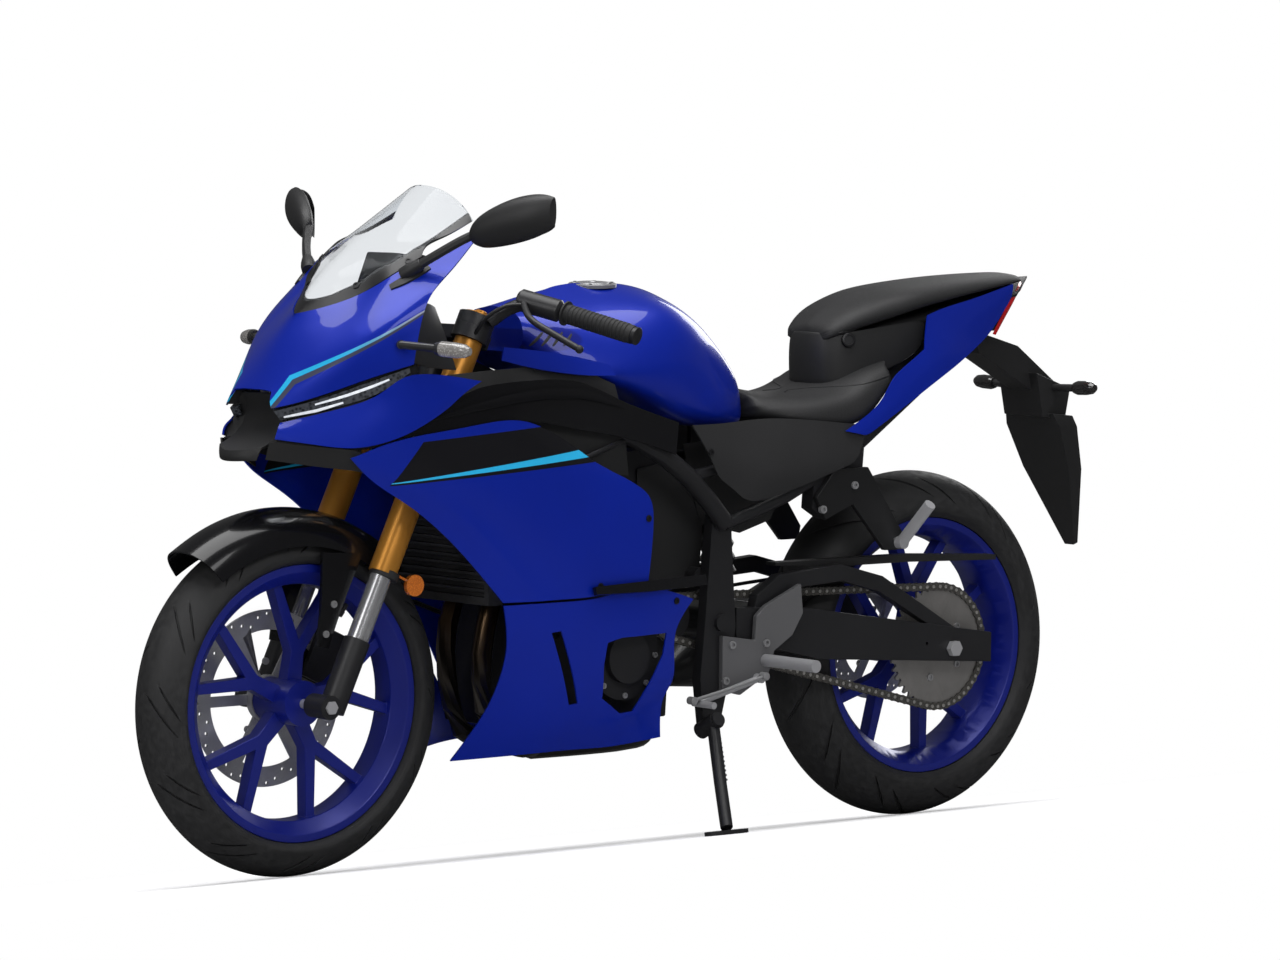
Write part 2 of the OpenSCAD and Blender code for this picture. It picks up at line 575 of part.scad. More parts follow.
accent_shares = [[[0.93, 0.945, 0.766], [0.87, 0.965, 0.79], [0.819, 0.97, 0.818], [0.732, 0.94, 0.826],
        [0.656, 0.88, 0.822], [0.578, 0.84, 0.782],
        [0.49, 0.835, 0.744]],
    [[0.93, 0.9475, 0.738], [0.876, 0.9675, 0.746], [0.819, 0.9805, 0.752], [0.747, 0.9875, 0.76],
        [0.663, 0.9525, 0.74], [0.578, 0.885, 0.722],
        [0.5, 0.885, 0.69]]];
fin_t = 8;
fin_shares = [[[0.651, 1.086, 0.476], [0.56, 1.051, 0.48], [0.455, 0.926, 0.482]],
    [[0.651, 1.106, 0.463], [0.56, 1.081, 0.462], [0.455, 0.946, 0.464]]];
dash_shares = [[[0.899, 0.935, 0.96], [0.88, 0.845, 0.956], [0.862, 0.745, 0.95]],
    [[0.91, 0.955, 0.91], [0.886, 0.885, 0.9], [0.848, 0.785, 0.896]],
    [[0.918, 0.96, 0.862], [0.886, 0.905, 0.852], [0.838, 0.825, 0.846]]];
instrument_shares = [[0.836, 0.97], [0.864, 0.97], [0.844, 1.036], [0.824, 1.03]];
instrument_half_w = 74;
cowl_hub = place(cowl_stay_shares[0]);
instrument_foot = place([(instrument_shares[0][0] + instrument_shares[1][0]) / 2, 0, instrument_shares[0][1]])
    - [0, 0, stay_gap];
cowl_root_share = [0.652, 0.58, 0.385];

// Fine grids of the panels, left side or both
tail_grid = side_grid(tail_panel_shares);
cover_grid = side_grid(side_cover_shares);
nose_grid = wide_grid(nose_shares);
cheek_grid = side_grid(cheek_shares);
lamp_grid = side_grid(lamp_shares);
duct_grid = wide_grid(duct_shares);
fairing_grid = turned([for (col = turned([for (row = places(fairing_shares)) creased(row, panel_steps)]))
    curve(col, panel_steps)]);
shroud_grid = side_grid(shroud_shares);
cowl_grid = side_grid(cowl_shares);

// Plate holder below the tail
plate_arm_half_w = 30;
plate_block_half_w = 52;
plate_arm_shares = [[-0.096, 0.8825], [-0.11, 0.838], [-0.215, 0.76], [-0.25, 0.78], [-0.18, 0.85]];
plate_block_shares = [[-0.2, 0.8], [-0.212, 0.72], [-0.252, 0.705], [-0.262, 0.77]];
plate_flap_shares = [[-0.222, 0.725], [-0.3, 0.474], [-0.307, 0.478], [-0.258, 0.72]];
flap_outline_shares = [[0.3, 0.735], [0.36, 0.7], [0.31, 0.62], [0.06, 0.474], [-0.06, 0.474], [-0.31, 0.62],
    [-0.36, 0.7], [-0.3, 0.735]];
rear_indicator_seat_share = [-0.232, 0, 0.772];
rear_indicator_tip_share = [-0.232, 0.8, 0.776];
indicator_base_r = 7.5;
indicator_base_h = 8;
front_indicator_tip_share = [0.902, 1.58, 0.884];
stem_r_small = 7;
pod_r = 13;
pod_shares = [[0.8, 0.52], [1, 0.6], [1, 0.8], [0.86, 0.93], [0.5, 1]];

// Mirrors: y, x, z, then depth and height as parts of the head's own
mirror_depth = 30;
mirror_back = 12;
mirror_half_h = 38;
head_sides = 14;
mirror_shares = [[1.14, 0.848, 1.072, 0.35, 0.35], [1.22, 0.842, 1.078, 0.8, 0.75], [1.45, 0.826, 1.094, 1,
    1],
    [1.7, 0.812, 1.106, 0.85, 0.92], [1.83, 0.805, 1.112, 0.35, 0.62]];
mirror_glass_shares = [[1.26, 0.8395, 1.081, 1, 0.7], [1.45, 0.826, 1.094, 1, 0.88],
    [1.7, 0.812, 1.106, 1, 0.8], [1.78, 0.808, 1.11, 1, 0.62]];
glass_t = 2;
stalk_shares = [[0.8941, 0.7372, 1.0141], [0.88, 0.9, 1.036], [0.86, 1.08, 1.062], [0.848, 1.17, 1.073]];
stalk_r = 8;

// Rider's and pillion's feet
bracket_t = 11;
bracket_shares = [[0.402, 0.368], [0.402, 0.272], [0.372, 0.262], [0.325, 0.296], [0.316, 0.335],
    [0.345, 0.356]];
heel_shares = [[0.349, 0.345], [0.346, 0.398], [0.33, 0.416], [0.272, 0.45], [0.268, 0.398], [0.286, 0.36],
    [0.316, 0.335]];
rail_lug_in_y = 104;
rail_lug_out_y = 135;
rail_lug_shares = [[0.245, 0.64], [0.16, 0.69], [0.166, 0.6], [0.224, 0.56], [0.248, 0.58]];
pillion_bracket_shares = [[0.248, 0.6], [0.215, 0.65], [0.16, 0.65], [0.096, 0.524], [0.1, 0.5],
    [0.13, 0.5], [0.186, 0.585], [0.232, 0.56]];
peg_share = [0.331, 0.32];
peg_r = 11;
peg_tip_y = 280;
shift_share = [0.346, 0.29];
shift_x = shift_share[0] * wheelbase;
shift_z = shift_share[1] * body_h;
shift_r = 8;
shift_boss = 16;
toe_share = [0.449, 0.255];
toe_x = toe_share[0] * wheelbase;
toe_z = toe_share[1] * body_h;
toe_r = 6;
toe_tip_y = 200;
pillion_peg_share = [0.107, 0.513];
pillion_peg_x = pillion_peg_share[0] * wheelbase;
pillion_peg_z = pillion_peg_share[1] * body_h;
pillion_peg_tip_share = [0.101, 1.1, 0.585];

// Fork, bars and front wheel fittings
clamp_back = 26;
clamp_wall = 8;
stem_bore_l = 60;
fork_stroke_l = 180;
inner_seat_l = 26;
fork_bottom_r = 22.5;
axle_boss_r = 20;
axle_boss_half_w = 25;
axle_head_h = 5;
axle_head_r = 12;
guard_steps = 8;
guard_front_angle = 50;
guard_back_angle = 122;
guard_gap = 20;
guard_lift = 24;
guard_half_w = 66;
guard_drop = 60;
guard_leg_t = 3;
guard_side_shares = [[0, 0], [0.45, 0.06], [0.8, 0.3], [0.95, 0.62], [1, 1]];
// Legs of the mudguard about the axle, as parts of the tyre's radius
guard_leg_shares = [[-0.071, 0.86], [-0.353, 0.843], [-0.188, 0.502], [-0.118, 0.314], [-0.038, 0.331],
    [-0.071, 0.57]];
caliper_reach = 112;
caliper_out_y = 104;
caliper_in_y = 44;
caliper_z = 60;
caliper_h = 92;
bar_ring_h = 20;
bar_r = 11;
bar_root_y = 36;
bar_root = fork_point(leg_x, upper_clamp_z + upper_clamp_t + bar_ring_h / 2) + [0, fork_half_w + bar_root_y,
    0];
bar_shares = [[0.752, 0.76, 0.944], [0.732, 0.9, 0.955]];
grip_share = [0.706, 1.15, 0.937];
grip_dir = (place(bar_end_shares) - place(grip_share)) / norm(place(bar_end_shares) - place(grip_share));
bar_lead = 26;
grip_gap = 0.9;
grip_l = norm(place(bar_end_shares) - place(grip_share));
grip_flange_r = 19;
grip_lip = 4;
bar_end_l = 22;
switch_shares = [[0.739, 0.782, 0.9607], [0.7095, 1.109, 0.941]];
switch_r = 19;
switch_lip = 5;
switch_l = norm(place(switch_shares[1]) - place(switch_shares[0]));
lever_shares = [[0.7462, 0.9163, 0.9532], [0.762, 1.15, 0.93], [0.754, 1.42, 0.905], [0.746, 1.66, 0.884]];
lever_r = 6;
reflector_x = -87;
reflector_z = 252;
reflector_r = 18;
reflector_t = 8;
reflector_strap = 4;

// Side stand: its hinge leans out so that the leg folds in under the body
stand_share = [0.425, 0.213];
stand_x = stand_share[0] * wheelbase;
stand_y = 145;
stand_z = stand_share[1] * body_h;
stand_tilt = 28;
stand_axis = [0, cos(stand_tilt), sin(stand_tilt)];
stand_eye_r = 15;
stand_eye_h = 27;
stand_pin_r = 6;
stand_lug_l = 22;
stand_head_h = 5;
stand_pivot = [stand_x, stand_y, stand_z];
stand_foot = [stand_x + stand_foot_lead, stand_foot_y, stand_foot_y * tan(lean) - park_lift / cos(lean)];
stand_dir = (stand_foot - stand_pivot) / norm(stand_foot - stand_pivot);
stand_start = stand_pivot + stand_axis * stand_eye_h / 2 + stand_dir * (stand_pin_r + stand_leg_r / 2);
stand_bend_share = 0.5;
stand_foot_l = 44;
stand_foot_w = 42;
stand_foot_t = 7;
stand_ankle = [0, 0, stand_leg_r];
module at_stand() {
    translate(stand_pivot)
        rotate([stand_tilt - 90, 0, 0])
            children();
}

module frame_bar(shares, r) {
    bar(curve(all_of(shares), tube_steps), r);
}
// Stay from a tube that ends square to a panel, just short of its back
module stay(g, i, j, wall, root) {
    n = facing(g, i, j);
    seat = g[i][j] - (wall + stay_gap) * n;
    bar([root, seat - stay_pad_h * n, seat], stay_r, stay_sides);
}

// Tube across the frame with a post on each side up to the foot of a body
module seat_tube(tube_share, foot) {
    p = place(tube_share);
    across(p[0], p[2], cross_r, -p[1], p[1]);
    pair()
        translate([foot[0], foot[1], p[2]])
            cylinder(h = foot[2] - post_gap - p[2], r = post_r, $fn = post_fn);
}
module frame() {
    color("#1c1c1e") {
        on_fork()
            translate([steer_x, 0, head_low_z])
                difference() {
                    cylinder(h = head_high_z - head_low_z, r = head_r, $fn = round_fn);
                    translate([0, 0, -overrun])
                        cylinder(h = head_high_z - head_low_z + 2 * overrun, r = stem_r + running_gap,
                            $fn = round_fn);
                }
        pair() {
            bar(curve(concat([spar_root], all_of(spar_shares)), tube_steps), frame_tube_r);
            frame_bar(rail_shares, frame_tube_r * rail_r_share);
            frame_bar(brace_shares, frame_tube_r * brace_r_share);
            slab(pivot_plate_shares, pivot_in_y, pivot_out_y);
            slab(rail_lug_shares, rail_lug_in_y, rail_lug_out_y);
            through(pivot_share, pivot_head_r, pivot_out_y - overrun,
                pivot_out_y + pivot_head_h);
        }
        through(pivot_share, pivot_r, -pivot_out_y, pivot_out_y);
        seat_tube(tank_tube_share, body_ring(tank_shares[6])[2]);
        seat_tube(seat_tube_share, body_ring(seat_shares[2])[2]);
        seat_tube(tail_tube_share, body_ring(tail_centre_shares[3])[2]);
        pair() {
            stay(fairing_grid, 2, 8, panel_wall, place(spar_shares[2]));
            stay(shroud_grid, 2, 2, panel_wall, place(spar_shares[1]));
            stay(cover_grid, 2, 2, panel_wall, place(brace_shares[1]));
            stay(tail_grid, 2, 2, panel_wall, place(brace_shares[3]));
        }
        at_stand() {
            translate([0, 0, -stand_lug_l])
                cylinder(h = stand_lug_l - seat_gap, r = stand_eye_r, $fn = round_fn);
            translate([0, 0, -stand_lug_l])
                cylinder(h = stand_lug_l + stand_eye_h + stand_head_h, r = stand_pin_r, $fn = round_fn);
            translate([0, 0, stand_eye_h + seat_gap])
                cylinder(h = stand_head_h, r = stand_eye_r - overrun, $fn = round_fn);
        }
    }
}

function fork_point(x, z) = [wheelbase + x * cos(rake) - z * sin(rake), 0,
    front_tyre_r + x * sin(rake) + z * cos(rake)];
module cowl_stay() {
    color("#1c1c1e") {
        bar(concat([fork_point(steer_x + head_r + seat_gap, cowl_stay_z)],
            curve(concat([fork_point(steer_x + head_r + cowl_stay_lead, cowl_stay_z)],
            all_of(cowl_stay_shares), [instrument_foot - [0, 0, stay_pad_h]]), 2),
            [instrument_foot]), cowl_stay_r, stay_sides);
        stay(duct_grid, 2, 2, panel_wall, cowl_hub);
        pair() {
            stay(lamp_grid, 1, 2, lamp_wall, cowl_hub);
            stay(nose_grid, 4, 12, panel_wall, cowl_hub);
            stay(cheek_grid, 2, 4, panel_wall, cowl_hub);
        }
    }
}

module engine() {
    color("#2a2a2c") {
        difference() {
            slab(crankcase_shares, -engine_half_w, engine_half_w);
            translate([0, gearbox_left_y, 0])
                cube([front_sprocket_x + sprocket_room, engine_half_w, pivot_plate_top_share * body_h]);
        }
        slab(cylinder_shares, -cylinder_half_w, cylinder_half_w);
        through(lug_share, lug_r, -pivot_in_y + seat_gap, pivot_in_y - seat_gap);
        slab(lug_arm_shares, -lug_arm_half_w, lug_arm_half_w);
        slab(airbox_shares, -airbox_half_w, airbox_half_w);
        pair()
            translate([hose_x, hose_y, hose_z])
                rotate([0, 90, 0])
                    cylinder(h = radiator_x - seat_gap - hose_x, r = hose_r, $fn = round_fn);
        pair()
            stay(cowl_grid, 1, 2, panel_wall, place(cowl_root_share));
        through(front_sprocket_share, shaft_r, gearbox_left_y - overrun, chain_y + sprocket_t);
        through(front_sprocket_share, front_pitch_r + tooth_h, chain_y - sprocket_t / 2,
            chain_y + sprocket_t / 2);
    }
}

module engine_covers() {
    color("#38383b") {
        through(stator_share, stator_r, engine_half_w + seat_gap, engine_half_w + cover_depth);
        through(stator_share, stator_r * cover_boss_share, engine_half_w + seat_gap,
            engine_half_w + cover_depth + cover_boss_h);
        through(clutch_share, clutch_r, -engine_half_w - cover_depth, -engine_half_w - seat_gap);
        through(clutch_share, clutch_r * cover_boss_share,
            -engine_half_w - cover_depth - cover_boss_h, -engine_half_w - seat_gap);
    }
}

module radiator() {
    color("#1a1a1b")
        difference() {
            translate([radiator_x, -radiator_half_w, radiator_z])
                cube([radiator_t, 2 * radiator_half_w, radiator_h]);
            for (k = [0 : louvre_count - 1])
                translate([radiator_x + radiator_t - louvre_depth, -radiator_half_w + tank_rim,
                        radiator_z + tank_rim + k * louvre_step])
                    cube([louvre_depth + overrun, 2 * (radiator_half_w - tank_rim),
                        louvre_step * louvre_gap_share]);
        }
}

module exhaust() {
    color("#4a4a4d") {
        for (y = [-port_y, port_y])
            bar(curve(concat([port_at(y, port_flange_t / 2), port_at(y, port_run)],
                [for (s = header_shares) [s[0] * wheelbase, y * s[1], s[2] * body_h]],
                [place(collector_share)]), tube_steps), header_r);
        for (y = [-port_y, port_y])
            along(port_at(y, seat_gap), port_at(y, port_flange_t))
                cylinder(h = port_flange_t, r = port_flange_r, $fn = round_fn);
        bar(concat(curve(concat(all_of(link_shares),
            [place(muffler_front_share) - link_lead * muffler_dir]), ring_steps),
            [place(muffler_front_share) - seat_gap * muffler_dir]), link_r);
    }
}

module muffler() {
    color("#2b2b2d")
        along(place(muffler_front_share), place(muffler_back_share))
            rotate_extrude($fn = round_fn)
                polygon([[0, 0], [link_r, 0], [muffler_r, muffler_cone], [muffler_r,
                    muffler_l - muffler_taper],
                    [muffler_r - muffler_lip, muffler_l], [outlet_r, muffler_l],
                    [outlet_r, muffler_l - outlet_depth], [0, muffler_l - outlet_depth]]);
}

module swingarm() {
    color("#1e1e20")
        difference() {
            union() {
                pair() {
                    slab(beam_shares, beam_in_y, beam_out_y);
                    slab(arch_shares, beam_in_y + arch_inset, beam_out_y - arch_inset);
                }
                slab(yoke_shares, -beam_in_y - overrun, beam_in_y + overrun);
                through(pivot_share, pivot_tube_r, -pivot_in_y + seat_gap,
                    pivot_in_y - seat_gap);
            }
            through(pivot_share, pivot_r + running_gap, -pivot_in_y - overrun,
                pivot_in_y + overrun);
            across(0, rear_tyre_r, rear_axle_r + seat_gap, -beam_out_y - overrun, beam_out_y + overrun);
            through(spool_share, spool_r, beam_out_y - spool_depth, beam_out_y + overrun);
            through(spool_share, spool_r, -beam_out_y - overrun, -beam_out_y + spool_depth);
        }
}

module rear_shock() {
    color("#8a1f1f") {
        across(shock_low[0], shock_low[2], shock_eye_r, -shock_eye_half_w, shock_eye_half_w);
        along(shock_low, shock_high)
            rotate_extrude($fn = round_fn)
                polygon(concat([[0, 0], [shock_rod_r, 0], [shock_rod_r, shock_eye_h]],
                    [for (k = [0 : 2 * coil_count - 1])
                        [k % 2 == 0 ? spring_r : spring_r - wire_r, shock_eye_h + (k + 0.5) * coil_step]],
                    [[shock_eye_r, shock_l - shock_eye_h], [shock_eye_r, shock_l], [0, shock_l]]));
    }
}

module rear_axle() {
    color("#b8bac0")
        at_rear_axle() {
            across(0, 0, rear_axle_r, -beam_out_y - axle_nut_h, beam_out_y + axle_nut_h);
            pair() {
                across(0, 0, axle_nut_r, beam_out_y + seat_gap, beam_out_y + axle_nut_h, 6);
                across(0, 0, spacer_r, rear_stack_y + running_gap, beam_in_y - seat_gap);
            }
        }
}

module rear_caliper() {
    color("#303034")
        difference() {
            slab(rear_caliper_shares, -beam_in_y + seat_gap, -rear_caliper_in_y);
            at_rear_axle()
                across(0, 0, rear_disc_r + disc_room, -rear_disc_y - disc_t / 2 - disc_room,
                    -rear_disc_y + disc_t / 2 + disc_room);
        }
}

module chain() {
    color("#6b665c") {
        for (y = [chain_y - plate_out_y, chain_y + plate_in_y])
            translate([0, y + plate_t, 0])
                rotate([90, 0, 0])
                    linear_extrude(plate_t)
                        difference() {
                            polygon([for (k = [0 : 2 * link_count - 1])
                                loop_at(k * loop_l / (2 * link_count),
                                    k % 2 == 0 ? plate_h : plate_waist)]);
                            polygon([for (k = [0 : 2 * link_count - 1])
                                loop_at(k * loop_l / (2 * link_count),
                                    k % 2 == 0 ? -plate_h : -plate_waist)]);
                        }
        for (s = [run_low_s, run_high_s])
            translate([0, chain_y + plate_in_y + strip_bite, 0])
                rotate([90, 0, 0])
                    linear_extrude(2 * (plate_in_y + strip_bite))
                        polygon(concat(
                            [for (k = [strip_skip : 2 * run_links - strip_skip])
                                loop_at(s + k * chain_pitch / 2, k % 2 == 0 ? roller_r : roller_waist)],
                            [for (k = [2 * run_links - strip_skip : -1 : strip_skip])
                                loop_at(s + k * chain_pitch / 2,
                                    k % 2 == 0 ? -roller_r : -roller_waist)]));
    }
}

module chain_guard() {
    color("#141415")
        slab(chain_guard_shares, guard_in_y, beam_in_y + arch_inset - seat_gap);
}

module fuel_tank() {
    color("#1b1fd6")
        union() {
            lofted(tank_shares);
            pair()
                panel(shroud_grid, panel_wall);
        }
}

module rider_seat() {
    color("#1d1d1f")
        lofted(seat_shares);
}

module pillion_seat() {
    color("#1d1d1f")
        lofted(pillion_shares);
}

module tail_panels() {
    color("#1b1fd6")
        pair()
            panel(tail_grid, panel_wall);
}

module tail_centre() {
    color("#161617")
        lofted(tail_centre_shares);
}

module tail_light() {
    color("#b01018")
        panel(wide_grid(tail_light_shares),
            lamp_wall);
}

module plate_holder() {
    color("#161617") {
        slab(plate_arm_shares, -plate_arm_half_w, plate_arm_half_w);
        slab(plate_block_shares, -plate_block_half_w, plate_block_half_w);
        intersection() {
            slab(plate_flap_shares, -body_half_w, body_half_w);
            translate([-wheelbase, 0, 0])
                rotate([90, 0, 90])
                    linear_extrude(wheelbase)
                        polygon([for (q = flap_outline_shares) [q[0] * body_half_w, q[1] * body_h]]);
        }
    }
}

// Indicator pod on a stem, out from a seat to a tip
module indicator(seat, tip) {
    l = norm(tip - seat);
    along(seat, tip)
        rotate_extrude($fn = round_fn)
            polygon(concat([[0, 0], [stem_r_small, 0], [stem_r_small, pod_shares[0][1] * l]],
                [for (q = pod_shares) [q[0] * pod_r, q[1] * l]], [[0, l]]));
}

module rear_indicators() {
    color("#d98a2b")
        pair()
            indicator([rear_indicator_seat_share[0] * wheelbase, plate_block_half_w + seat_gap,
                rear_indicator_seat_share[2] * body_h], place(rear_indicator_tip_share));
}

module side_covers() {
    color("#3a3a3d")
        pair()
            panel(cover_grid, panel_wall);
}

module nose_cowl() {
    color("#1b1fd6") {
        panel(nose_grid, panel_wall);
        pair()
            panel(cheek_grid, panel_wall);
    }
}

module windscreen() {
    color([0.8, 0.85, 0.9, 0.45])
        panel(wide_grid(screen_shares), screen_wall);
}

module nose_duct() {
    color("#101011") {
        panel(duct_grid, panel_wall);
        pair()
            panel(side_grid(lip_shares), panel_wall);
    }
}

module headlamps() {
    color("#c9ced6")
        pair()
            panel(lamp_grid, lamp_wall);
}

module side_fairings() {
    color("#1b1fd6")
        pair()
            panel(fairing_grid, panel_wall);
}

module lower_cowls() {
    color("#1b1fd6")
        pair()
            difference() {
                panel(cowl_grid, panel_wall);
                for (opening = [vent_shares, window_shares])
                    slab(opening, body_half_w / 2, 2 * body_half_w);
            }
}

module accent_panels() {
    color("#0d0d0e")
        pair() {
            panel(side_grid(accent_shares), panel_wall);
            panel(side_grid(fin_shares), fin_t);
        }
}

module dash_panels() {
    color("#171718")
        pair()
            panel(side_grid(dash_shares), panel_wall);
}

module instrument() {
    color("#151517")
        slab(instrument_shares, -instrument_half_w, instrument_half_w);
}

// Ring of a mirror head at one distance from the middle, from a row of
// shares: y, x, z, then half depth and half height as named parts
function head_ring(r) = [for (k = [0 : head_sides - 1])
    let (a = 360 * k / head_sides,
        depth = sin(a) > 0 ? mirror_depth * r[3] : mirror_back * r[3])
    place([r[1], r[0], r[2]]) + [depth * sin(a), 0, -mirror_half_h * r[4] * cos(a)]];
module mirrors() {
    color("#151516")
        pair() {
            skinned([for (row = curve(mirror_shares, tube_steps)) head_ring(row)]);
            bar(curve(all_of(stalk_shares), tube_steps), stalk_r, stay_sides);
        }
}

module mirror_glass() {
    color("#9aa4ad")
        pair()
            skinned([for (row = curve(mirror_glass_shares, tube_steps)) glass_ring(row)]);
}
function glass_ring(r) = [for (k = [0 : head_sides - 1])
    let (a = 360 * k / head_sides)
    place([r[1], r[0], r[2]]) + [-mirror_back - seat_gap - glass_t + glass_t * (1 + sin(a)) / 2, 0,
        -mirror_half_h * r[4] * cos(a)]];

module front_indicators() {
    color("#d98a2b")
        pair()
            let (n = facing(nose_grid, 5, 19), seat = nose_grid[5][19] + stay_gap * n) {
                along(seat, seat + n)
                    cylinder(h = indicator_base_h, r = indicator_base_r, $fn = round_fn);
                indicator(seat + n * indicator_base_h / 2, place(front_indicator_tip_share));
            }
}

module foot_brackets() {
    color("#2c2c2f")
        pair() {
            slab(bracket_shares, pivot_out_y + seat_gap, pivot_out_y + bracket_t);
            slab(heel_shares, pivot_out_y + seat_gap, pivot_out_y + bracket_t);
            slab(pillion_bracket_shares, rail_lug_out_y + seat_gap, rail_lug_out_y + bracket_t);
        }
}

module foot_pegs() {
    color("#a9abb0")
        pair() {
            through(peg_share, peg_r, pivot_out_y + bracket_t + seat_gap, peg_tip_y);
            through(shift_share, shift_r, pivot_out_y + bracket_t + seat_gap,
                pivot_out_y + bracket_t + shift_boss);
            bar([[shift_x, pivot_out_y + bracket_t + shift_boss / 2, shift_z],
                [toe_x, pivot_out_y + bracket_t + shift_boss / 2, toe_z]], toe_r);
            through(toe_share, toe_r, pivot_out_y + bracket_t, toe_tip_y);
            through(pillion_peg_share, peg_r, rail_lug_out_y + bracket_t + seat_gap,
                rail_lug_out_y + bracket_t + shift_boss);
            bar([[pillion_peg_x, rail_lug_out_y + bracket_t + shift_boss / 2, pillion_peg_z],
                place(pillion_peg_tip_share)], peg_r);
        }
}

module triple_clamps() {
    color("#1b1b1d")
        on_fork()
            difference() {
                union() {
                    for (c = [[lower_clamp_z, lower_clamp_t], [upper_clamp_z, upper_clamp_t]])
                        translate([0, 0, c[0]]) {
                            translate([steer_x - clamp_back, -fork_half_w, 0])
                                cube([clamp_back + clamp_front, 2 * fork_half_w, c[1]]);
                            translate([steer_x, 0, 0])
                                cylinder(h = c[1], r = head_r + clamp_wall, $fn = round_fn);
                            for (y = [-fork_half_w, fork_half_w])
                                translate([leg_x, y, 0])
                                    cylinder(h = c[1], r = fork_outer_r + clamp_wall, $fn = round_fn);
                        }
                    translate([steer_x, 0, lower_clamp_z])
                        cylinder(h = upper_clamp_z - lower_clamp_z + overrun, r = stem_r, $fn = round_fn);
                }
                for (y = [-fork_half_w, fork_half_w])
                    translate([leg_x, y, lower_clamp_z - overrun])
                        cylinder(h = upper_clamp_z, r = fork_outer_r + seat_gap, $fn = round_fn);
                translate([steer_x, 0, lower_clamp_z - overrun])
                    cylinder(h = stem_bore_l + overrun, r = stem_bore_r, $fn = round_fn);
            }
}

module fork_outers() {
    color("#c88a25")
        on_fork()
            pair()
                translate([leg_x, fork_half_w, fork_outer_z])
                    difference() {
                        cylinder(h = fork_top_z - fork_outer_z, r = fork_outer_r, $fn = round_fn);
                        translate([0, 0, -overrun])
                            cylinder(h = fork_stroke_l + overrun, r = fork_inner_r + running_gap,
                                $fn = round_fn);
                    }
}

module fork_inners() {
    color("#d7d9dd")
        on_fork()
            pair()
                translate([leg_x, fork_half_w, fork_bottom_z - inner_seat_l])
                    cylinder(h = fork_outer_z + fork_stroke_l - seat_gap - fork_bottom_z + inner_seat_l,
                        r = fork_inner_r, $fn = round_fn);
}

module fork_bottoms() {
    color("#1b1b1d")
        on_fork()
            pair()
                difference() {
                    union() {
                        translate([leg_x, fork_half_w, 0])
                            cylinder(h = fork_bottom_z, r = fork_bottom_r, $fn = round_fn);
                        across(0, 0, axle_boss_r, fork_half_w - axle_boss_half_w,
                            fork_half_w + axle_boss_half_w);
                    }
                    translate([leg_x, fork_half_w, fork_bottom_z - inner_seat_l - seat_gap])
                        cylinder(h = inner_seat_l + overrun, r = fork_inner_r + seat_gap, $fn = round_fn);
                    across(0, 0, front_axle_r + seat_gap, fork_half_w - axle_boss_half_w - overrun,
                        fork_half_w + axle_boss_half_w + overrun);
                }
}

module front_axle() {
    color("#b8bac0")
        at_front_axle() {
            across(0, 0, front_axle_r, -fork_half_w - axle_boss_half_w - axle_head_h,
                fork_half_w + axle_boss_half_w + axle_head_h);
            pair() {
                across(0, 0, axle_head_r, fork_half_w + axle_boss_half_w + seat_gap,
                    fork_half_w + axle_boss_half_w + axle_head_h, 6);
                across(0, 0, spacer_r, front_stack_y + running_gap,
                    fork_half_w - axle_boss_half_w - seat_gap);
            }
        }
}

module front_mudguard() {
    color("#0d0d0e") {
        panel([for (k = [0 : guard_steps])
            let (a = guard_front_angle + (guard_back_angle - guard_front_angle) * k / guard_steps,
                r = front_tyre_r + guard_gap + guard_lift * (1 - k / guard_steps))
            both_sides([for (q = guard_side_shares)
                let (rr = r - q[1] * guard_drop)
                [wheelbase + rr * cos(a), q[0] * guard_half_w, front_tyre_r + rr * sin(a)]])],
                    panel_wall);
        at_front_axle()
            pair()
                translate([0, guard_half_w + guard_leg_t, 0])
                    rotate([90, 0, 0])
                        linear_extrude(2 * guard_leg_t)
                            polygon(front_tyre_r * guard_leg_shares);
    }
}

module front_caliper() {
    color("#26262a")
        on_fork()
            difference() {
                translate([leg_x - caliper_reach, -caliper_out_y, caliper_z])
                    cube([caliper_reach - fork_bottom_r - seat_gap, caliper_out_y - caliper_in_y,
                        caliper_h]);
                across(0, 0, front_disc_r + disc_room, -front_disc_y - disc_t / 2 - disc_room,
                    -front_disc_y + disc_t / 2 + disc_room);
            }
}

module bars() {
    color("#19191b") {
        on_fork()
            pair()
                translate([leg_x, fork_half_w, upper_clamp_z + upper_clamp_t + seat_gap])
                    difference() {
                        cylinder(h = bar_ring_h, r = fork_outer_r + clamp_wall, $fn = round_fn);
                        translate([0, 0, -overrun])
                            cylinder(h = bar_ring_h + 2 * overrun, r = fork_outer_r + seat_gap,
                                $fn = round_fn);
                    }
        pair() {
            bar(curve(concat([bar_root], all_of(bar_shares), [place(grip_share) - bar_lead * grip_dir,
                place(grip_share)]), ring_steps), bar_r);
            along(place(switch_shares[0]), place(switch_shares[1]))
                rotate_extrude($fn = round_fn)
                    polygon([[0, 0], [switch_r - switch_lip, 0], [switch_r, switch_lip],
                        [switch_r, switch_l - switch_lip], [switch_r - switch_lip, switch_l], [0,
                            switch_l]]);
        }
    }
}

module grips() {
    color("#111112")
        pair()
            along(place(grip_share) + grip_gap * grip_dir, place(bar_end_shares))
                rotate_extrude($fn = round_fn)
                    polygon([[0, 0], [grip_flange_r, 0], [grip_flange_r, grip_lip], [grip_r,
                        2 * grip_lip],
                        [grip_r, grip_l - bar_end_l], [bar_r, grip_l - bar_end_l],
                        [bar_r, grip_l - bar_end_l + grip_lip], [grip_r, grip_l - bar_end_l + grip_lip],
                        [grip_r, grip_l - grip_lip], [grip_r - grip_lip, grip_l], [0, grip_l]]);
}

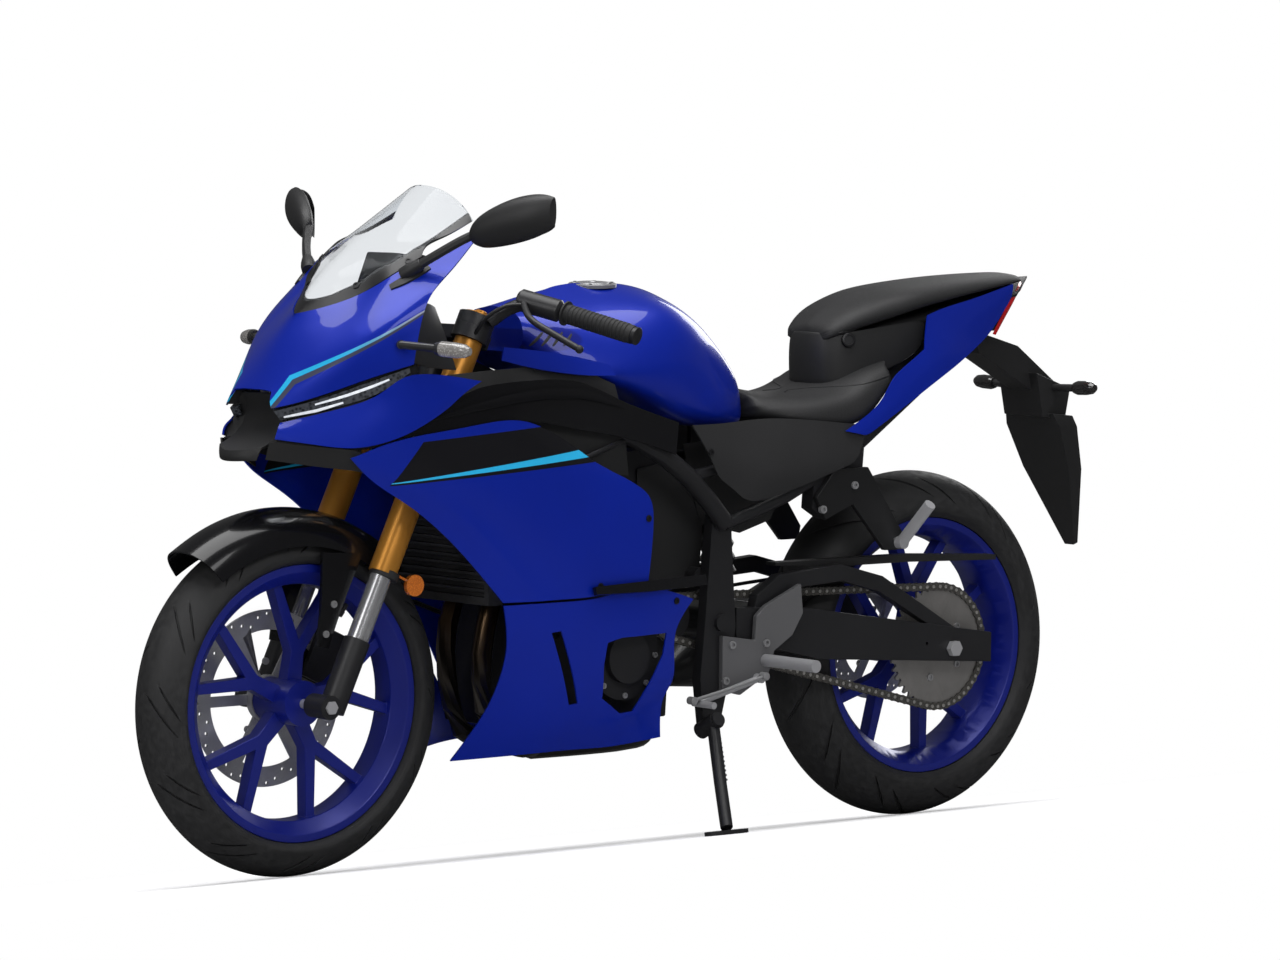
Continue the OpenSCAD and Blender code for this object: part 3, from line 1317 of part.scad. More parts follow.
module hand_levers() {
    color("#2a2a2c")
        pair()
            bar(curve(all_of(lever_shares), 3), lever_r);
}

module reflectors() {
    color("#d9791a")
        on_fork()
            pair() {
                translate([reflector_x, 0, reflector_z])
                    across(0, 0, reflector_r, fork_half_w, fork_half_w + reflector_t);
                translate([reflector_x, fork_half_w, reflector_z])
                    cube([leg_x - fork_outer_r - seat_gap - reflector_x, reflector_strap,
                        reflector_strap]);
            }
}

// Wheel pieces about an axle along Y, centred on the origin
module tyre(r, crown_r, rim_half_w) {
    rotate([90, 0, 0])
        rotate_extrude($fn = fine_fn)
            difference() {
                union() {
                    translate([r - crown_r, 0])
                        circle(r = crown_r, $fn = fine_fn);
                    translate([rim_flange_r - flange_h, -rim_half_w + flange_t + bead_slope])
                        square([r - crown_r - rim_flange_r + flange_h,
                            2 * (rim_half_w - flange_t - bead_slope)]);
                }
                translate([0, -crown_r - overrun])
                    square([rim_flange_r - flange_h + seat_gap, 2 * (crown_r + overrun)]);
                for (y = [-crown_r - overrun, rim_half_w - flange_t - bead_slope - seat_gap])
                    translate([0, y])
                        square([rim_flange_r + seat_gap,
                            crown_r + overrun - rim_half_w + flange_t + bead_slope + seat_gap]);
            }
}
function polar(r, a) = [r * cos(a), r * sin(a)];
module spoke(rim_r) {
    linear_extrude(spoke_t, center = true)
        polygon([polar(hub_r - overrun, -spoke_foot_angle), polar(rim_r * spoke_waist_r_share,
            -spoke_waist_angle),
            polar(rim_r, -spoke_arm_angle - spoke_arm_half_angle), polar(rim_r,
                -spoke_arm_angle + spoke_arm_half_angle),
            polar(rim_r * spoke_crotch_r_share, 0), polar(rim_r, spoke_arm_angle - spoke_arm_half_angle),
            polar(rim_r, spoke_arm_angle + spoke_arm_half_angle), polar(rim_r * spoke_waist_r_share,
                spoke_waist_angle),
            polar(hub_r - overrun, spoke_foot_angle)]);
}
module rim(half_w, hub_half_w, bore_r) {
    well_r = rim_flange_r - well_depth;
    rotate([90, 0, 0])
        difference() {
            union() {
                rotate_extrude($fn = fine_fn)
                    polygon([[rim_flange_r, -half_w], [rim_flange_r, -half_w + flange_t],
                        [rim_flange_r - flange_h, -half_w + flange_t + bead_slope],
                        [well_r, -half_w / 2], [well_r, half_w / 2],
                        [rim_flange_r - flange_h, half_w - flange_t - bead_slope],
                        [rim_flange_r, half_w - flange_t], [rim_flange_r, half_w],
                        [rim_flange_r - flange_h, half_w], [well_r - rim_wall, half_w / 2],
                        [well_r - rim_wall, -half_w / 2], [rim_flange_r - flange_h, -half_w]]);
                for (k = [0 : spoke_count - 1])
                    rotate([0, 0, first_spoke_angle + 360 * k / spoke_count])
                        spoke(well_r - rim_wall / 2);
                cylinder(h = 2 * hub_half_w, r = hub_r, center = true, $fn = round_fn);
            }
            cylinder(h = 2 * (hub_half_w + overrun), r = bore_r, center = true, $fn = round_fn);
        }
}
module disc(r, y, hub_y, bore_r) {
    rotate([90, 0, 0])
        difference() {
            union() {
                translate([0, 0, y - disc_t / 2])
                    difference() {
                        cylinder(h = disc_t, r = r, $fn = fine_fn);
                        translate([0, 0, -overrun])
                            cylinder(h = disc_t + 2 * overrun, r = r - disc_band, $fn = fine_fn);
                    }
                for (k = [0 : carrier_arms - 1])
                    rotate([0, 0, 360 * k / carrier_arms])
                        translate([hub_r, -carrier_arm_w / 2, y - disc_t / 2])
                            cube([r - disc_band - hub_r + overrun, carrier_arm_w, disc_t]);
                translate([0, 0, hub_y + seat_gap])
                    cylinder(h = y + disc_t / 2 - hub_y - seat_gap, r = hub_r + overrun, $fn = round_fn);
            }
            translate([0, 0, hub_y - overrun])
                cylinder(h = y, r = bore_r, $fn = round_fn);
            for (k = [0 : disc_hole_groups - 1], q = disc_hole_shares)
                rotate([0, 0, 360 * (k + q[0]) / disc_hole_groups])
                    translate([r - disc_band * q[1], 0, y - disc_t])
                        cylinder(h = 2 * disc_t, r = disc_hole_r, $fn = hole_fn);
        }
}

module front_tyre() {
    color("#1a1a1a")
        at_front_axle()
            tyre(front_tyre_r, front_crown_r, front_rim_w / 2);
}
module front_rim() {
    color("#1417a8")
        at_front_axle()
            rim(front_rim_w / 2, front_hub_half_w, front_axle_r + running_gap);
}
module front_disc() {
    color("#9c9ea3")
        at_front_axle()
            disc(front_disc_r, front_disc_y, front_hub_half_w, spacer_r + disc_room);
}
module rear_tyre() {
    color("#1a1a1a")
        at_rear_axle()
            tyre(rear_tyre_r, rear_crown_r, rear_rim_w / 2);
}
module rear_rim() {
    color("#1417a8")
        at_rear_axle()
            rim(rear_rim_w / 2, rear_hub_half_w, rear_axle_r + running_gap);
}
module rear_disc() {
    color("#9c9ea3")
        at_rear_axle()
            disc(rear_disc_r, rear_disc_y, rear_hub_half_w, spacer_r + disc_room);
}
module rear_sprocket() {
    color("#77777a")
        at_rear_axle()
            difference() {
                union() {
                    translate([0, chain_y + sprocket_t / 2, 0])
                        rotate([90, 0, 0])
                            linear_extrude(sprocket_t)
                                polygon([for (k = [0 : 4 * rear_teeth - 1])
                                    polar(rear_pitch_r + (k % 4 < 2 ? -tooth_root : tooth_h),
                                        90 * k / rear_teeth)]);
                    across(0, 0, hub_r + carrier_lip, rear_hub_half_w + seat_gap, chain_y);
                }
                across(0, 0, spacer_r + disc_room, rear_hub_half_w - overrun, chain_y + sprocket_t);
            }
}

module side_stand() {
    color("#1b1b1d") {
        at_stand()
            difference() {
                cylinder(h = stand_eye_h, r = stand_eye_r, $fn = round_fn);
                translate([0, 0, -overrun])
                    cylinder(h = stand_eye_h + 2 * overrun, r = stand_pin_r + running_gap,
                        $fn = round_fn);
            }
        bar([stand_start, stand_start + (stand_foot - stand_start) * stand_bend_share,
            stand_foot + stand_ankle],
            stand_leg_r);
        translate(stand_foot)
            rotate([lean, 0, 0]) {
                translate([-stand_foot_l / 2, -stand_foot_w / 2, 0])
                    cube([stand_foot_l, stand_foot_w, stand_foot_t]);
                for (x = [-stand_foot_l / 2, stand_foot_l / 2])
                    translate([x, 0, 0])
                        cylinder(h = stand_foot_t, r = stand_foot_w / 2, $fn = round_fn);
            }
    }
}

parked() frame();
parked() cowl_stay();
parked() engine();
parked() engine_covers();
parked() radiator();
parked() exhaust();
parked() muffler();
parked() swingarm();
parked() rear_shock();
parked() rear_axle();
parked() rear_caliper();
parked() chain();
parked() chain_guard();
parked() fuel_tank();
parked() rider_seat();
parked() pillion_seat();
parked() tail_panels();
parked() tail_centre();
parked() tail_light();
parked() plate_holder();
parked() rear_indicators();
parked() side_covers();
parked() nose_cowl();
parked() windscreen();
parked() nose_duct();
parked() headlamps();
parked() side_fairings();
parked() lower_cowls();
parked() accent_panels();
parked() dash_panels();
parked() instrument();
parked() mirrors();
parked() mirror_glass();
parked() front_indicators();
parked() foot_brackets();
parked() foot_pegs();
parked() triple_clamps();
parked() fork_outers();
parked() fork_inners();
parked() fork_bottoms();
parked() front_axle();
parked() front_mudguard();
parked() front_caliper();
parked() bars();
parked() grips();
parked() hand_levers();
parked() reflectors();
parked() front_tyre();
parked() front_rim();
parked() front_disc();
parked() rear_tyre();
parked() rear_rim();
parked() rear_disc();
parked() rear_sprocket();
parked() side_stand();
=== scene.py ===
import json
import math
import bmesh
import bpy
from mathutils import Matrix, Vector
from mathutils.bvhtree import BVHTree


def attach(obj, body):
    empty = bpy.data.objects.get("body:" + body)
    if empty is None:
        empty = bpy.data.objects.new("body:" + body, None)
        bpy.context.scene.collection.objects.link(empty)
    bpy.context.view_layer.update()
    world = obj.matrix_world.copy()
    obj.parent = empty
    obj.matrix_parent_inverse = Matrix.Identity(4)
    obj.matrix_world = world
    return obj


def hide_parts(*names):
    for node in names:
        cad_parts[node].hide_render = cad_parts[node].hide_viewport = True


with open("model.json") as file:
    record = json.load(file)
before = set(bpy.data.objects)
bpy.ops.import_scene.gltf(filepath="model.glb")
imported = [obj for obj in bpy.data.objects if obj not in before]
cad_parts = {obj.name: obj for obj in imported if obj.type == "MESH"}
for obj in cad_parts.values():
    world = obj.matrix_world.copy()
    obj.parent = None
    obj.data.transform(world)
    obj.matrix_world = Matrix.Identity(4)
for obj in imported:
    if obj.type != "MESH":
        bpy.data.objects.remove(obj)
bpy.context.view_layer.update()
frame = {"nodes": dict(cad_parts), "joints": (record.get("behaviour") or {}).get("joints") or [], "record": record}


# Studio: a low camera at the photograph's angle, rolled so that the leaning bike fills the picture as the
# upright one does, over a white floor under large soft lamps.
def linked(name, data):
    """A new object in the scene."""
    thing = bpy.data.objects.new(name, data)
    bpy.context.scene.collection.objects.link(thing)
    return thing


camera_height = 0.12
camera_azimuth = math.radians(39.4)
camera_distance = 9.5
camera_target = Vector((0.047, 0.0, 0.6227))
camera_roll = math.radians(-5.25)
camera_lens = 154.5
sensor_width = 36.0
camera_data = bpy.data.cameras.new("photo_camera")
camera_data.lens = camera_lens
camera_data.sensor_width = sensor_width
camera_data.clip_end = 100.0
camera = linked("photo_camera", camera_data)
camera_side = Vector((math.sin(camera_azimuth), math.cos(camera_azimuth), 0.0))
camera_place = camera_target + camera_distance * camera_side
camera_place.z = camera_height
look = (camera_target - camera_place).to_track_quat("-Z", "Y").to_matrix().to_4x4()
camera.matrix_world = Matrix.Translation(camera_place) @ look @ Matrix.Rotation(camera_roll, 4, "Z")
bpy.context.scene.camera = camera
bpy.context.scene.view_settings.view_transform = "Standard"


def soft_lamp(name, place, aim, size, power):
    """A rectangular lamp (m, W) at a place, turned to its aim."""
    data = bpy.data.lights.new(name, "AREA")
    data.shape = "RECTANGLE"
    data.size, data.size_y = size
    data.energy = power
    lamp = linked(name, data)
    turn = (Vector(aim) - Vector(place)).to_track_quat("-Z", "Y").to_matrix().to_4x4()
    lamp.matrix_world = Matrix.Translation(place) @ turn


soft_lamp("overhead_softbox", (0.3, 0.6, 3.6), (0.0, 0.0, 0.5), (3.6, 2.4), 120)
soft_lamp("left_softbox", (1.2, 4.2, 2.4), (0.1, 0.0, 0.6), (3.2, 1.2), 48)
soft_lamp("front_softbox", (4.4, 1.2, 1.9), (0.6, 0.0, 0.6), (1.4, 1.6), 36)
soft_lamp("rear_softbox", (-3.8, -1.6, 2.2), (-0.4, 0.0, 0.6), (1.8, 1.8), 45)


# White surround: a plain white backdrop all round. Camera and glass rays see it white, mirror and other rays
# see a softer grey.
class Wire:
    """A node socket: sums of sockets add Math nodes, and node() adds any other node."""

    def __init__(self, tree, socket):
        self.tree = tree
        self.socket = socket

    def node(self, kind, settings, inputs, output=0):
        made = self.tree.nodes.new(kind)
        for name, value in settings.items():
            setattr(made, name, value)
        for key, value in inputs.items():
            if isinstance(value, Wire):
                self.tree.links.new(value.socket, made.inputs[key])
            else:
                made.inputs[key].default_value = value
        return Wire(self.tree, made.outputs[output])

    def math(self, operation, *values):
        return self.node("ShaderNodeMath", {"operation": operation}, dict(enumerate(values)))

    def __add__(self, other):
        return self.math("ADD", self, other)

    __radd__ = __add__

    def __sub__(self, other):
        return self.math("SUBTRACT", self, other)

    def __rsub__(self, other):
        return self.math("SUBTRACT", other, self)

    def __mul__(self, other):
        return self.math("MULTIPLY", self, other)

    __rmul__ = __mul__

    def rise(self, low, high):
        settings = {"interpolation_type": "SMOOTHSTEP"}
        return self.node("ShaderNodeMapRange", settings, {"Value": self, "From Min": low, "From Max": high})

    def noise(self, scale, detail=4.0):
        return self.node("ShaderNodeTexNoise", {}, {"Vector": self, "Scale": scale, "Detail": detail})

    def cells(self, scale):
        return self.node("ShaderNodeTexVoronoi", {}, {"Vector": self, "Scale": scale})

    def blend(self, first, second):
        settings = {"data_type": "RGBA"}
        return self.node("ShaderNodeMix", settings, {0: self, 6: first, 7: second}, 2)

    def mix(self, first, second):
        return self.node("ShaderNodeMix", {}, {0: self, 2: first, 3: second})

    def parts(self):
        return [self.node("ShaderNodeSeparateXYZ", {}, {"Vector": self}, axis) for axis in range(3)]


surround_level = {"seen": 1.0, "glossy": 0.09, "diffuse": 0.42}
world = bpy.data.worlds.new("white_surround")
bpy.context.scene.world = world
world.use_nodes = True
sky = world.node_tree
sky.nodes.clear()
rays = sky.nodes.new("ShaderNodeLightPath")
seen = Wire(sky, rays.outputs["Is Camera Ray"]) + Wire(sky, rays.outputs["Is Transmission Ray"])
level = Wire(sky, rays.outputs["Is Glossy Ray"]).mix(surround_level["diffuse"], surround_level["glossy"])
level = seen.rise(0.0, 1.0).mix(level, surround_level["seen"])
backdrop = level.node("ShaderNodeBackground", {}, {"Color": (1, 1, 1, 1), "Strength": level})
surround = sky.nodes.new("ShaderNodeOutputWorld")
sky.links.new(backdrop.socket, surround.inputs["Surface"])

# Floor: one broad white sheet that keeps the soft shadow under the tyres and fades into the white surround.
# It belongs to the studio and is no piece of the bike.
floor_half = 60.0
floor_drop = -0.0005
shadow_reach = (1.2, 2.6)
floor_mesh = bpy.data.meshes.new("floor")
floor_corners = [(x * floor_half, y * floor_half, 0) for x, y in ((-1, -1), (1, -1), (1, 1), (-1, 1))]
floor_mesh.from_pydata(floor_corners, [], [(0, 1, 2, 3)])
floor = linked("floor", floor_mesh)
floor.location.z = floor_drop
floor_white = bpy.data.materials.new("floor_white")
floor_white.use_nodes = True
sheet = floor_white.node_tree
sheet.nodes.clear()
spot = Wire(sheet, sheet.nodes.new("ShaderNodeTexCoord").outputs["Object"])
reach = spot.node("ShaderNodeVectorMath", {"operation": "LENGTH"}, {0: spot}, 1).rise(*shadow_reach)
floor_rays = sheet.nodes.new("ShaderNodeLightPath")
camera_ray = (Wire(sheet, floor_rays.outputs["Is Camera Ray"])
              + Wire(sheet, floor_rays.outputs["Is Transmission Ray"])).rise(0.0, 1.0)
mirror_ray = Wire(sheet, floor_rays.outputs["Is Glossy Ray"])
floor_colour = mirror_ray.blend((0.8, 0.8, 0.81, 1), (0.08, 0.08, 0.08, 1))
matt = spot.node("ShaderNodeBsdfDiffuse", {}, {"Color": floor_colour})
glow = spot.node("ShaderNodeEmission", {}, {"Color": (1, 1, 1, 1), "Strength": camera_ray * 0.25})
near = spot.node("ShaderNodeAddShader", {}, {0: matt, 1: glow})
far_level = camera_ray.mix(mirror_ray.mix(0.35, 0.05), 1.0)
far = spot.node("ShaderNodeEmission", {}, {"Color": (1, 1, 1, 1), "Strength": far_level})
both = spot.node("ShaderNodeMixShader", {}, {0: reach, 1: near, 2: far})
sheet_out = sheet.nodes.new("ShaderNodeOutputMaterial")
sheet.links.new(both.socket, sheet_out.inputs["Surface"])
floor_mesh.materials.append(floor_white)

# Frame, stays, rear arm and shock: welded steel tube and plate under satin black powder coat, with edges
# rounded by the coat. Every CAD solid is copied, its seams merged and its sharp edges broken.
bodies = frame["record"]["behaviour"]["bodies"]
body_of_node = {node: body for body, nodes in bodies.items() for node in nodes}
joints = {joint["name"]: joint for joint in frame["joints"]}
rear_hub = Vector(joints["rear_wheel"]["pos_m"])
lean = math.atan2(-joints["rear_wheel"]["axis"][2], joints["rear_wheel"]["axis"][1])
bike = Matrix.Translation(rear_hub) @ Matrix.Rotation(-lean, 4, "X")
rear_axle_height = 314.0
front_hub = bike.inverted() @ Vector(joints["front_wheel"]["pos_m"])
rear_axle = (0, rear_axle_height)
front_axle = (round(1000 * front_hub.x, 2), round(1000 * front_hub.z + rear_axle_height, 2))
skins = {}


def at(x, y, z):
    """A point of the upright bike, in mm forward of the rear axle, to the left and above the ground."""
    return bike @ (Vector((x, y, z - rear_axle_height)) * 0.001)


def toward(x, y, z):
    """A direction of the upright bike, of length 1."""
    return (bike.to_3x3() @ Vector((x, y, z))).normalized()


def shade(name, **constants):
    """A material with one Principled shader: returns it, its shader and its Object coordinates."""
    material = bpy.data.materials.new(name)
    material.use_nodes = True
    tree = material.node_tree
    shader = tree.nodes["Principled BSDF"]
    for key, value in constants.items():
        shader.inputs[key.replace("_", " ")].default_value = value
    coordinates = tree.nodes.new("ShaderNodeTexCoord")
    return material, shader, Wire(tree, coordinates.outputs["Object"])


def feed(shader, **wires):
    """Links wires to a shader's inputs."""
    for key, wire in wires.items():
        wire.tree.links.new(wire.socket, shader.inputs[key.replace("_", " ")])


def bump(height, strength, distance):
    """A surface normal from a height; distance in m."""
    return height.node("ShaderNodeBump", {}, {"Height": height, "Strength": strength, "Distance": distance})


def upright(place):
    """Object coordinates in the upright bike's own frame, in metres from the rear axle."""
    turn = {"Vector": place, "Location": rear_hub, "Rotation": (-lean, 0, 0)}
    return place.node("ShaderNodeMapping", {"vector_type": "TEXTURE"}, turn).parts()


def coated(name, colour, roughness, grain, depth, spread=0.3, **constants):
    """Paint, plastic or metal with a fine grain: noise moves its tone, gloss and surface."""
    material, shader, place = shade(name, **constants)
    cloud = place.noise(9.0)
    fine = place.noise(grain, 3.0)
    darker = tuple(0.78 * c for c in colour) + (1,)
    feed(shader, Base_Color=cloud.blend(darker, tuple(colour) + (1,)),
         Roughness=roughness * (1 - spread / 2) + cloud * (roughness * spread),
         Normal=bump(fine, depth, 0.0006))
    return material


def merged(node):
    """A free copy of a CAD node's mesh, and a bmesh of it with its seams closed."""
    mesh = frame["nodes"][node].data.copy()
    mesh.name = node + "_fine"
    mesh.materials.clear()
    if "custom_normal" in mesh.attributes:
        mesh.attributes.remove(mesh.attributes["custom_normal"])
    work = bmesh.new()
    work.from_mesh(mesh)
    bmesh.ops.remove_doubles(work, verts=work.verts, dist=2e-5)
    return mesh, work


def applied(holder):
    """The mesh that an object's modifiers make of it; the object itself is removed."""
    fine = bpy.data.meshes.new_from_object(holder.evaluated_get(bpy.context.evaluated_depsgraph_get()))
    bpy.data.objects.remove(holder)
    return fine


def baked(mesh, modifier, **settings):
    """A mesh with one modifier applied."""
    holder = linked(mesh.name, mesh)
    made = holder.modifiers.new("finish", modifier)
    for name, value in settings.items():
        setattr(made, name, value)
    return applied(holder)


def finished(mesh, node, finish):
    """The piece that stands for a CAD node and rides on its body."""
    mesh.materials.append(finish)
    piece = linked(node + "_skin", mesh)
    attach(piece, body_of_node[node])
    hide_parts(node)
    skins[node] = BVHTree.FromPolygons([v.co for v in mesh.vertices], [f.vertices[:] for f in mesh.polygons])
    return piece


def rounded(node, width, finish):
    """A CAD node with its flat facets joined, its sharp edges broken by a width (m) and its curves smooth."""
    sharp = math.radians(38)
    mesh, work = merged(node)
    bmesh.ops.dissolve_limit(work, angle_limit=math.radians(0.8), verts=work.verts, edges=work.edges)
    edges = [edge for edge in work.edges if len(edge.link_faces) == 2
             and edge.calc_face_angle(0) > sharp and edge.calc_length() > 3 * width]
    if width:
        bmesh.ops.bevel(work, geom=edges, offset=width, offset_type="OFFSET", segments=2, profile=0.5,
                        affect="EDGES", clamp_overlap=False)
    for face in work.faces:
        face.smooth = True
    work.to_mesh(mesh)
    work.free()
    mesh.set_sharp_from_angle(angle=sharp)
    return finished(baked(mesh, "WEIGHTED_NORMAL", keep_sharp=True, weight=60), node, finish)


def smoothed(node, levels, finish, sharp=math.radians(42)):
    """A finer copy of a lofted shell: triangles joined to quads, edges kept, faces rounded."""
    mesh, work = merged(node)
    bmesh.ops.join_triangles(work, faces=work.faces, angle_face_threshold=0.7, angle_shape_threshold=1.4)
    crease = work.edges.layers.float.new("crease_edge")
    for edge in work.edges:
        if len(edge.link_faces) != 2 or edge.calc_face_angle(math.pi) > sharp:
            edge[crease] = 1.0
    for face in work.faces:
        face.smooth = True
    work.to_mesh(mesh)
    work.free()
    fine = baked(mesh, "SUBSURF", levels=levels, render_levels=levels)
    fine.set_sharp_from_angle(angle=sharp)
    return finished(fine, node, finish)


satin_black = coated("satin_black_coat", (0.014, 0.014, 0.016), 0.42, 1400, 0.14)
coated_edges = {"frame": 0.001, "cowl_stay": 0.0008, "swingarm": 0.002, "rear_shock": 0.0006}
for node, edge_width in coated_edges.items():
    rounded(node, edge_width, satin_black)

# Engine, its side covers and the brakes: die-cast aluminium in dark paint with a sandy cast grain.
# The covers bolt to the block, and the calipers to the fork and the rear arm.
cast_dark = coated("cast_dark_metal", (0.03, 0.03, 0.033), 0.5, 900, 0.35, Metallic=0.5)
cast_edges = {"engine": 0.003, "engine_covers": 0.0025, "rear_caliper": 0.0015, "front_caliper": 0.0015}
for node, edge_width in cast_edges.items():
    rounded(node, edge_width, cast_dark)

# Radiator: brazed aluminium core in black, its fine upright fins read as a close ripple, with painted light
# on the fins and painted shade between them.
# It stands across the bike behind the front wheel.
fin_waves = 2200.0
radiator_core, shader, place = shade("radiator_core", Metallic=0.6)
across = upright(place)[1]
# Painted light and shade: lighter stripes on the fins and darker ones between them; the same ripple bumps the
# surface.
fin_relief_and_shade = across.math("SINE", across * fin_waves) * 0.5 + 0.5
feed(shader, Base_Color=fin_relief_and_shade.blend((0.008, 0.008, 0.009, 1), (0.07, 0.07, 0.075, 1)),
     Roughness=0.42 + place.noise(60) * 0.2, Normal=bump(fin_relief_and_shade, 0.6, 0.001))
rounded("radiator", 0.001, radiator_core)

# Exhaust and muffler: bent stainless pipe tinted by heat near the ports, and a black silencer on the right.
# The pipes run down in front of the engine and under it.
pipe_steel, shader, place = shade("pipe_steel", Metallic=1.0)
height = upright(place)[2]
heat = height.rise(-0.12, 0.2)
straw = (place.noise(14) * 0.5 + heat * 0.7).rise(0.2, 0.9)
feed(shader, Base_Color=straw.blend((0.16, 0.15, 0.14, 1), (0.11, 0.07, 0.04, 1)),
     Roughness=0.24 + place.noise(40) * 0.2, Normal=bump(place.noise(700, 3.0), 0.08, 0.0005))
rounded("exhaust", 0, pipe_steel)
muffler_black = coated("muffler_black", (0.012, 0.012, 0.013), 0.34, 900, 0.1)
rounded("muffler", 0.0015, muffler_black)

# Axles, pegs and pedals: turned steel with a fine lathe mark.
# The axles pass through the hubs, and the pegs and pedals sit in the foot brackets.
turned_steel = coated("turned_steel", (0.5, 0.5, 0.52), 0.34, 1600, 0.1, Metallic=0.55)
for node in ("rear_axle", "front_axle", "foot_pegs"):
    rounded(node, 0.0008, turned_steel)


# Brake discs: ground stainless rings with circular grinding marks round their own axle. The sprocket is cut
# from darker steel and marked the same way.
def ringed(name, axle, colour, fine):
    """Steel with fine rings round an axle's side-view place (mm)."""
    material, shader, place = shade(name, Metallic=0.6)
    x, y, z = upright(place)
    x = x - axle[0] * 0.001
    z = z - (axle[1] - rear_axle_height) * 0.001
    square = x * x + z * z
    radius = square.math("SQRT", square)
    marks = radius.math("SINE", radius * fine) * 0.5 + 0.5
    cloud = place.noise(30)
    feed(shader, Base_Color=cloud.blend(tuple(0.8 * c for c in colour) + (1,), tuple(colour) + (1,)),
         Roughness=0.2 + marks * 0.12 + cloud * 0.06, Normal=bump(marks, 0.12, 0.0003))
    return material


disc_grey, sprocket_grey = (0.52, 0.52, 0.54), (0.3, 0.29, 0.28)
disc_rings, sprocket_rings = 5200, 3200
rounded("front_disc", 0.0006, ringed("front_disc_steel", front_axle, disc_grey, disc_rings))
rounded("rear_disc", 0.0006, ringed("rear_disc_steel", rear_axle, disc_grey, disc_rings))
rounded("rear_sprocket", 0.0005, ringed("sprocket_steel", rear_axle, sprocket_grey, sprocket_rings))

# Chain: a roller chain in oiled steel on both sprockets, with a riveted pin at each link.
# Its moulded guard is screwed to the rear arm.
chain_steel, shader, place = shade("chain_steel")
grime = place.noise(520, 2.0).rise(0.35, 0.7)
feed(shader, Base_Color=grime.blend((0.13, 0.125, 0.115, 1), (0.03, 0.028, 0.025, 1)),
     Roughness=0.3 + grime * 0.35, Metallic=0.6 - grime * 0.3)
rounded("chain", 0, chain_steel)


def fastener_tree():
    """Round heads with a sunk socket on every point, turned to face its 'facing' vector."""
    tree = bpy.data.node_groups.new("fastener_heads", "GeometryNodeTree")
    tree.interface.new_socket("Geometry", in_out="INPUT", socket_type="NodeSocketGeometry")
    for name in ("Head Radius", "Head Height", "Socket Share"):
        tree.interface.new_socket(name, in_out="INPUT", socket_type="NodeSocketFloat")
    tree.interface.new_socket("Finish", in_out="INPUT", socket_type="NodeSocketMaterial")
    tree.interface.new_socket("Geometry", in_out="OUTPUT", socket_type="NodeSocketGeometry")
    source = tree.nodes.new("NodeGroupInput")
    given = {socket.name: Wire(tree, socket) for socket in source.outputs if socket.name}
    start = given["Geometry"]
    rim = start.node("GeometryNodeMeshCylinder", {}, {"Vertices": 14, "Radius": given["Head Radius"],
                                                     "Depth": given["Head Height"] * 2.0})
    top = Wire(tree, rim.socket.node.outputs["Top"])
    face = start.node("GeometryNodeExtrudeMesh", {}, {"Mesh": rim, "Selection": top, "Offset Scale": 0.0,
                                                     "Individual": False})
    face_top = Wire(tree, face.socket.node.outputs["Top"])
    ring = start.node("GeometryNodeScaleElements", {}, {"Geometry": face, "Selection": face_top,
                                                       "Scale": given["Socket Share"]})
    socket = start.node("GeometryNodeExtrudeMesh", {}, {"Mesh": ring, "Selection": face_top,
                                                       "Offset Scale": given["Head Height"] * -0.8,
                                                       "Individual": False})
    facing = start.node("GeometryNodeInputNamedAttribute", {"data_type": "FLOAT_VECTOR"}, {"Name": "facing"})
    turn = start.node("FunctionNodeAlignRotationToVector", {"axis": "Z"}, {"Vector": facing})
    heads = start.node("GeometryNodeInstanceOnPoints", {}, {"Points": start, "Instance": socket,
                                                           "Rotation": turn})
    real = start.node("GeometryNodeRealizeInstances", {}, {"Geometry": heads})
    done = start.node("GeometryNodeSetMaterial", {}, {"Geometry": real, "Material": given["Finish"]})
    result = tree.nodes.new("NodeGroupOutput")
    tree.links.new(done.socket, result.inputs["Geometry"])
    return tree


heads_tree = fastener_tree()


def added(mesh, name, body):
    """A piece that stands for no CAD node."""
    piece = linked(name, mesh)
    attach(piece, body)
    return piece


def fasten(name, body, spots, radius, height, finish, socket_share=0.55):
    """Fastener heads at (place, facing) pairs; radius and height in mm."""
    points = bpy.data.meshes.new(name)
    points.from_pydata([place for place, facing in spots], [], [])
    facings = points.attributes.new("facing", "FLOAT_VECTOR", "POINT")
    facings.data.foreach_set("vector", [value for place, facing in spots for value in facing])
    holder = linked(name, points)
    heads = holder.modifiers.new("heads", "NODES")
    heads.node_group = heads_tree
    values = {"Head Radius": radius / 1000, "Head Height": height / 1000, "Socket Share": socket_share,
              "Finish": finish}
    for item in heads_tree.interface.items_tree:
        if item.in_out == "INPUT" and item.name in values:
            heads[item.identifier] = values[item.name]
    return added(applied(holder), name, body)


def round_steps(count, start=0.0):
    """Cosine and sine at even steps round a circle, from a start angle."""
    angles = [start + 2 * math.pi * k / count for k in range(count)]
    return [(math.cos(angle), math.sin(angle)) for angle in angles]


def on_circle(centre, radius, y, count, start, facing):
    """Spots evenly round a circle in the upright bike's side plane."""
    steps = round_steps(count, math.radians(start))
    return [(at(centre[0] + radius * c, y, centre[1] + radius * s), toward(0, facing, 0)) for c, s in steps]


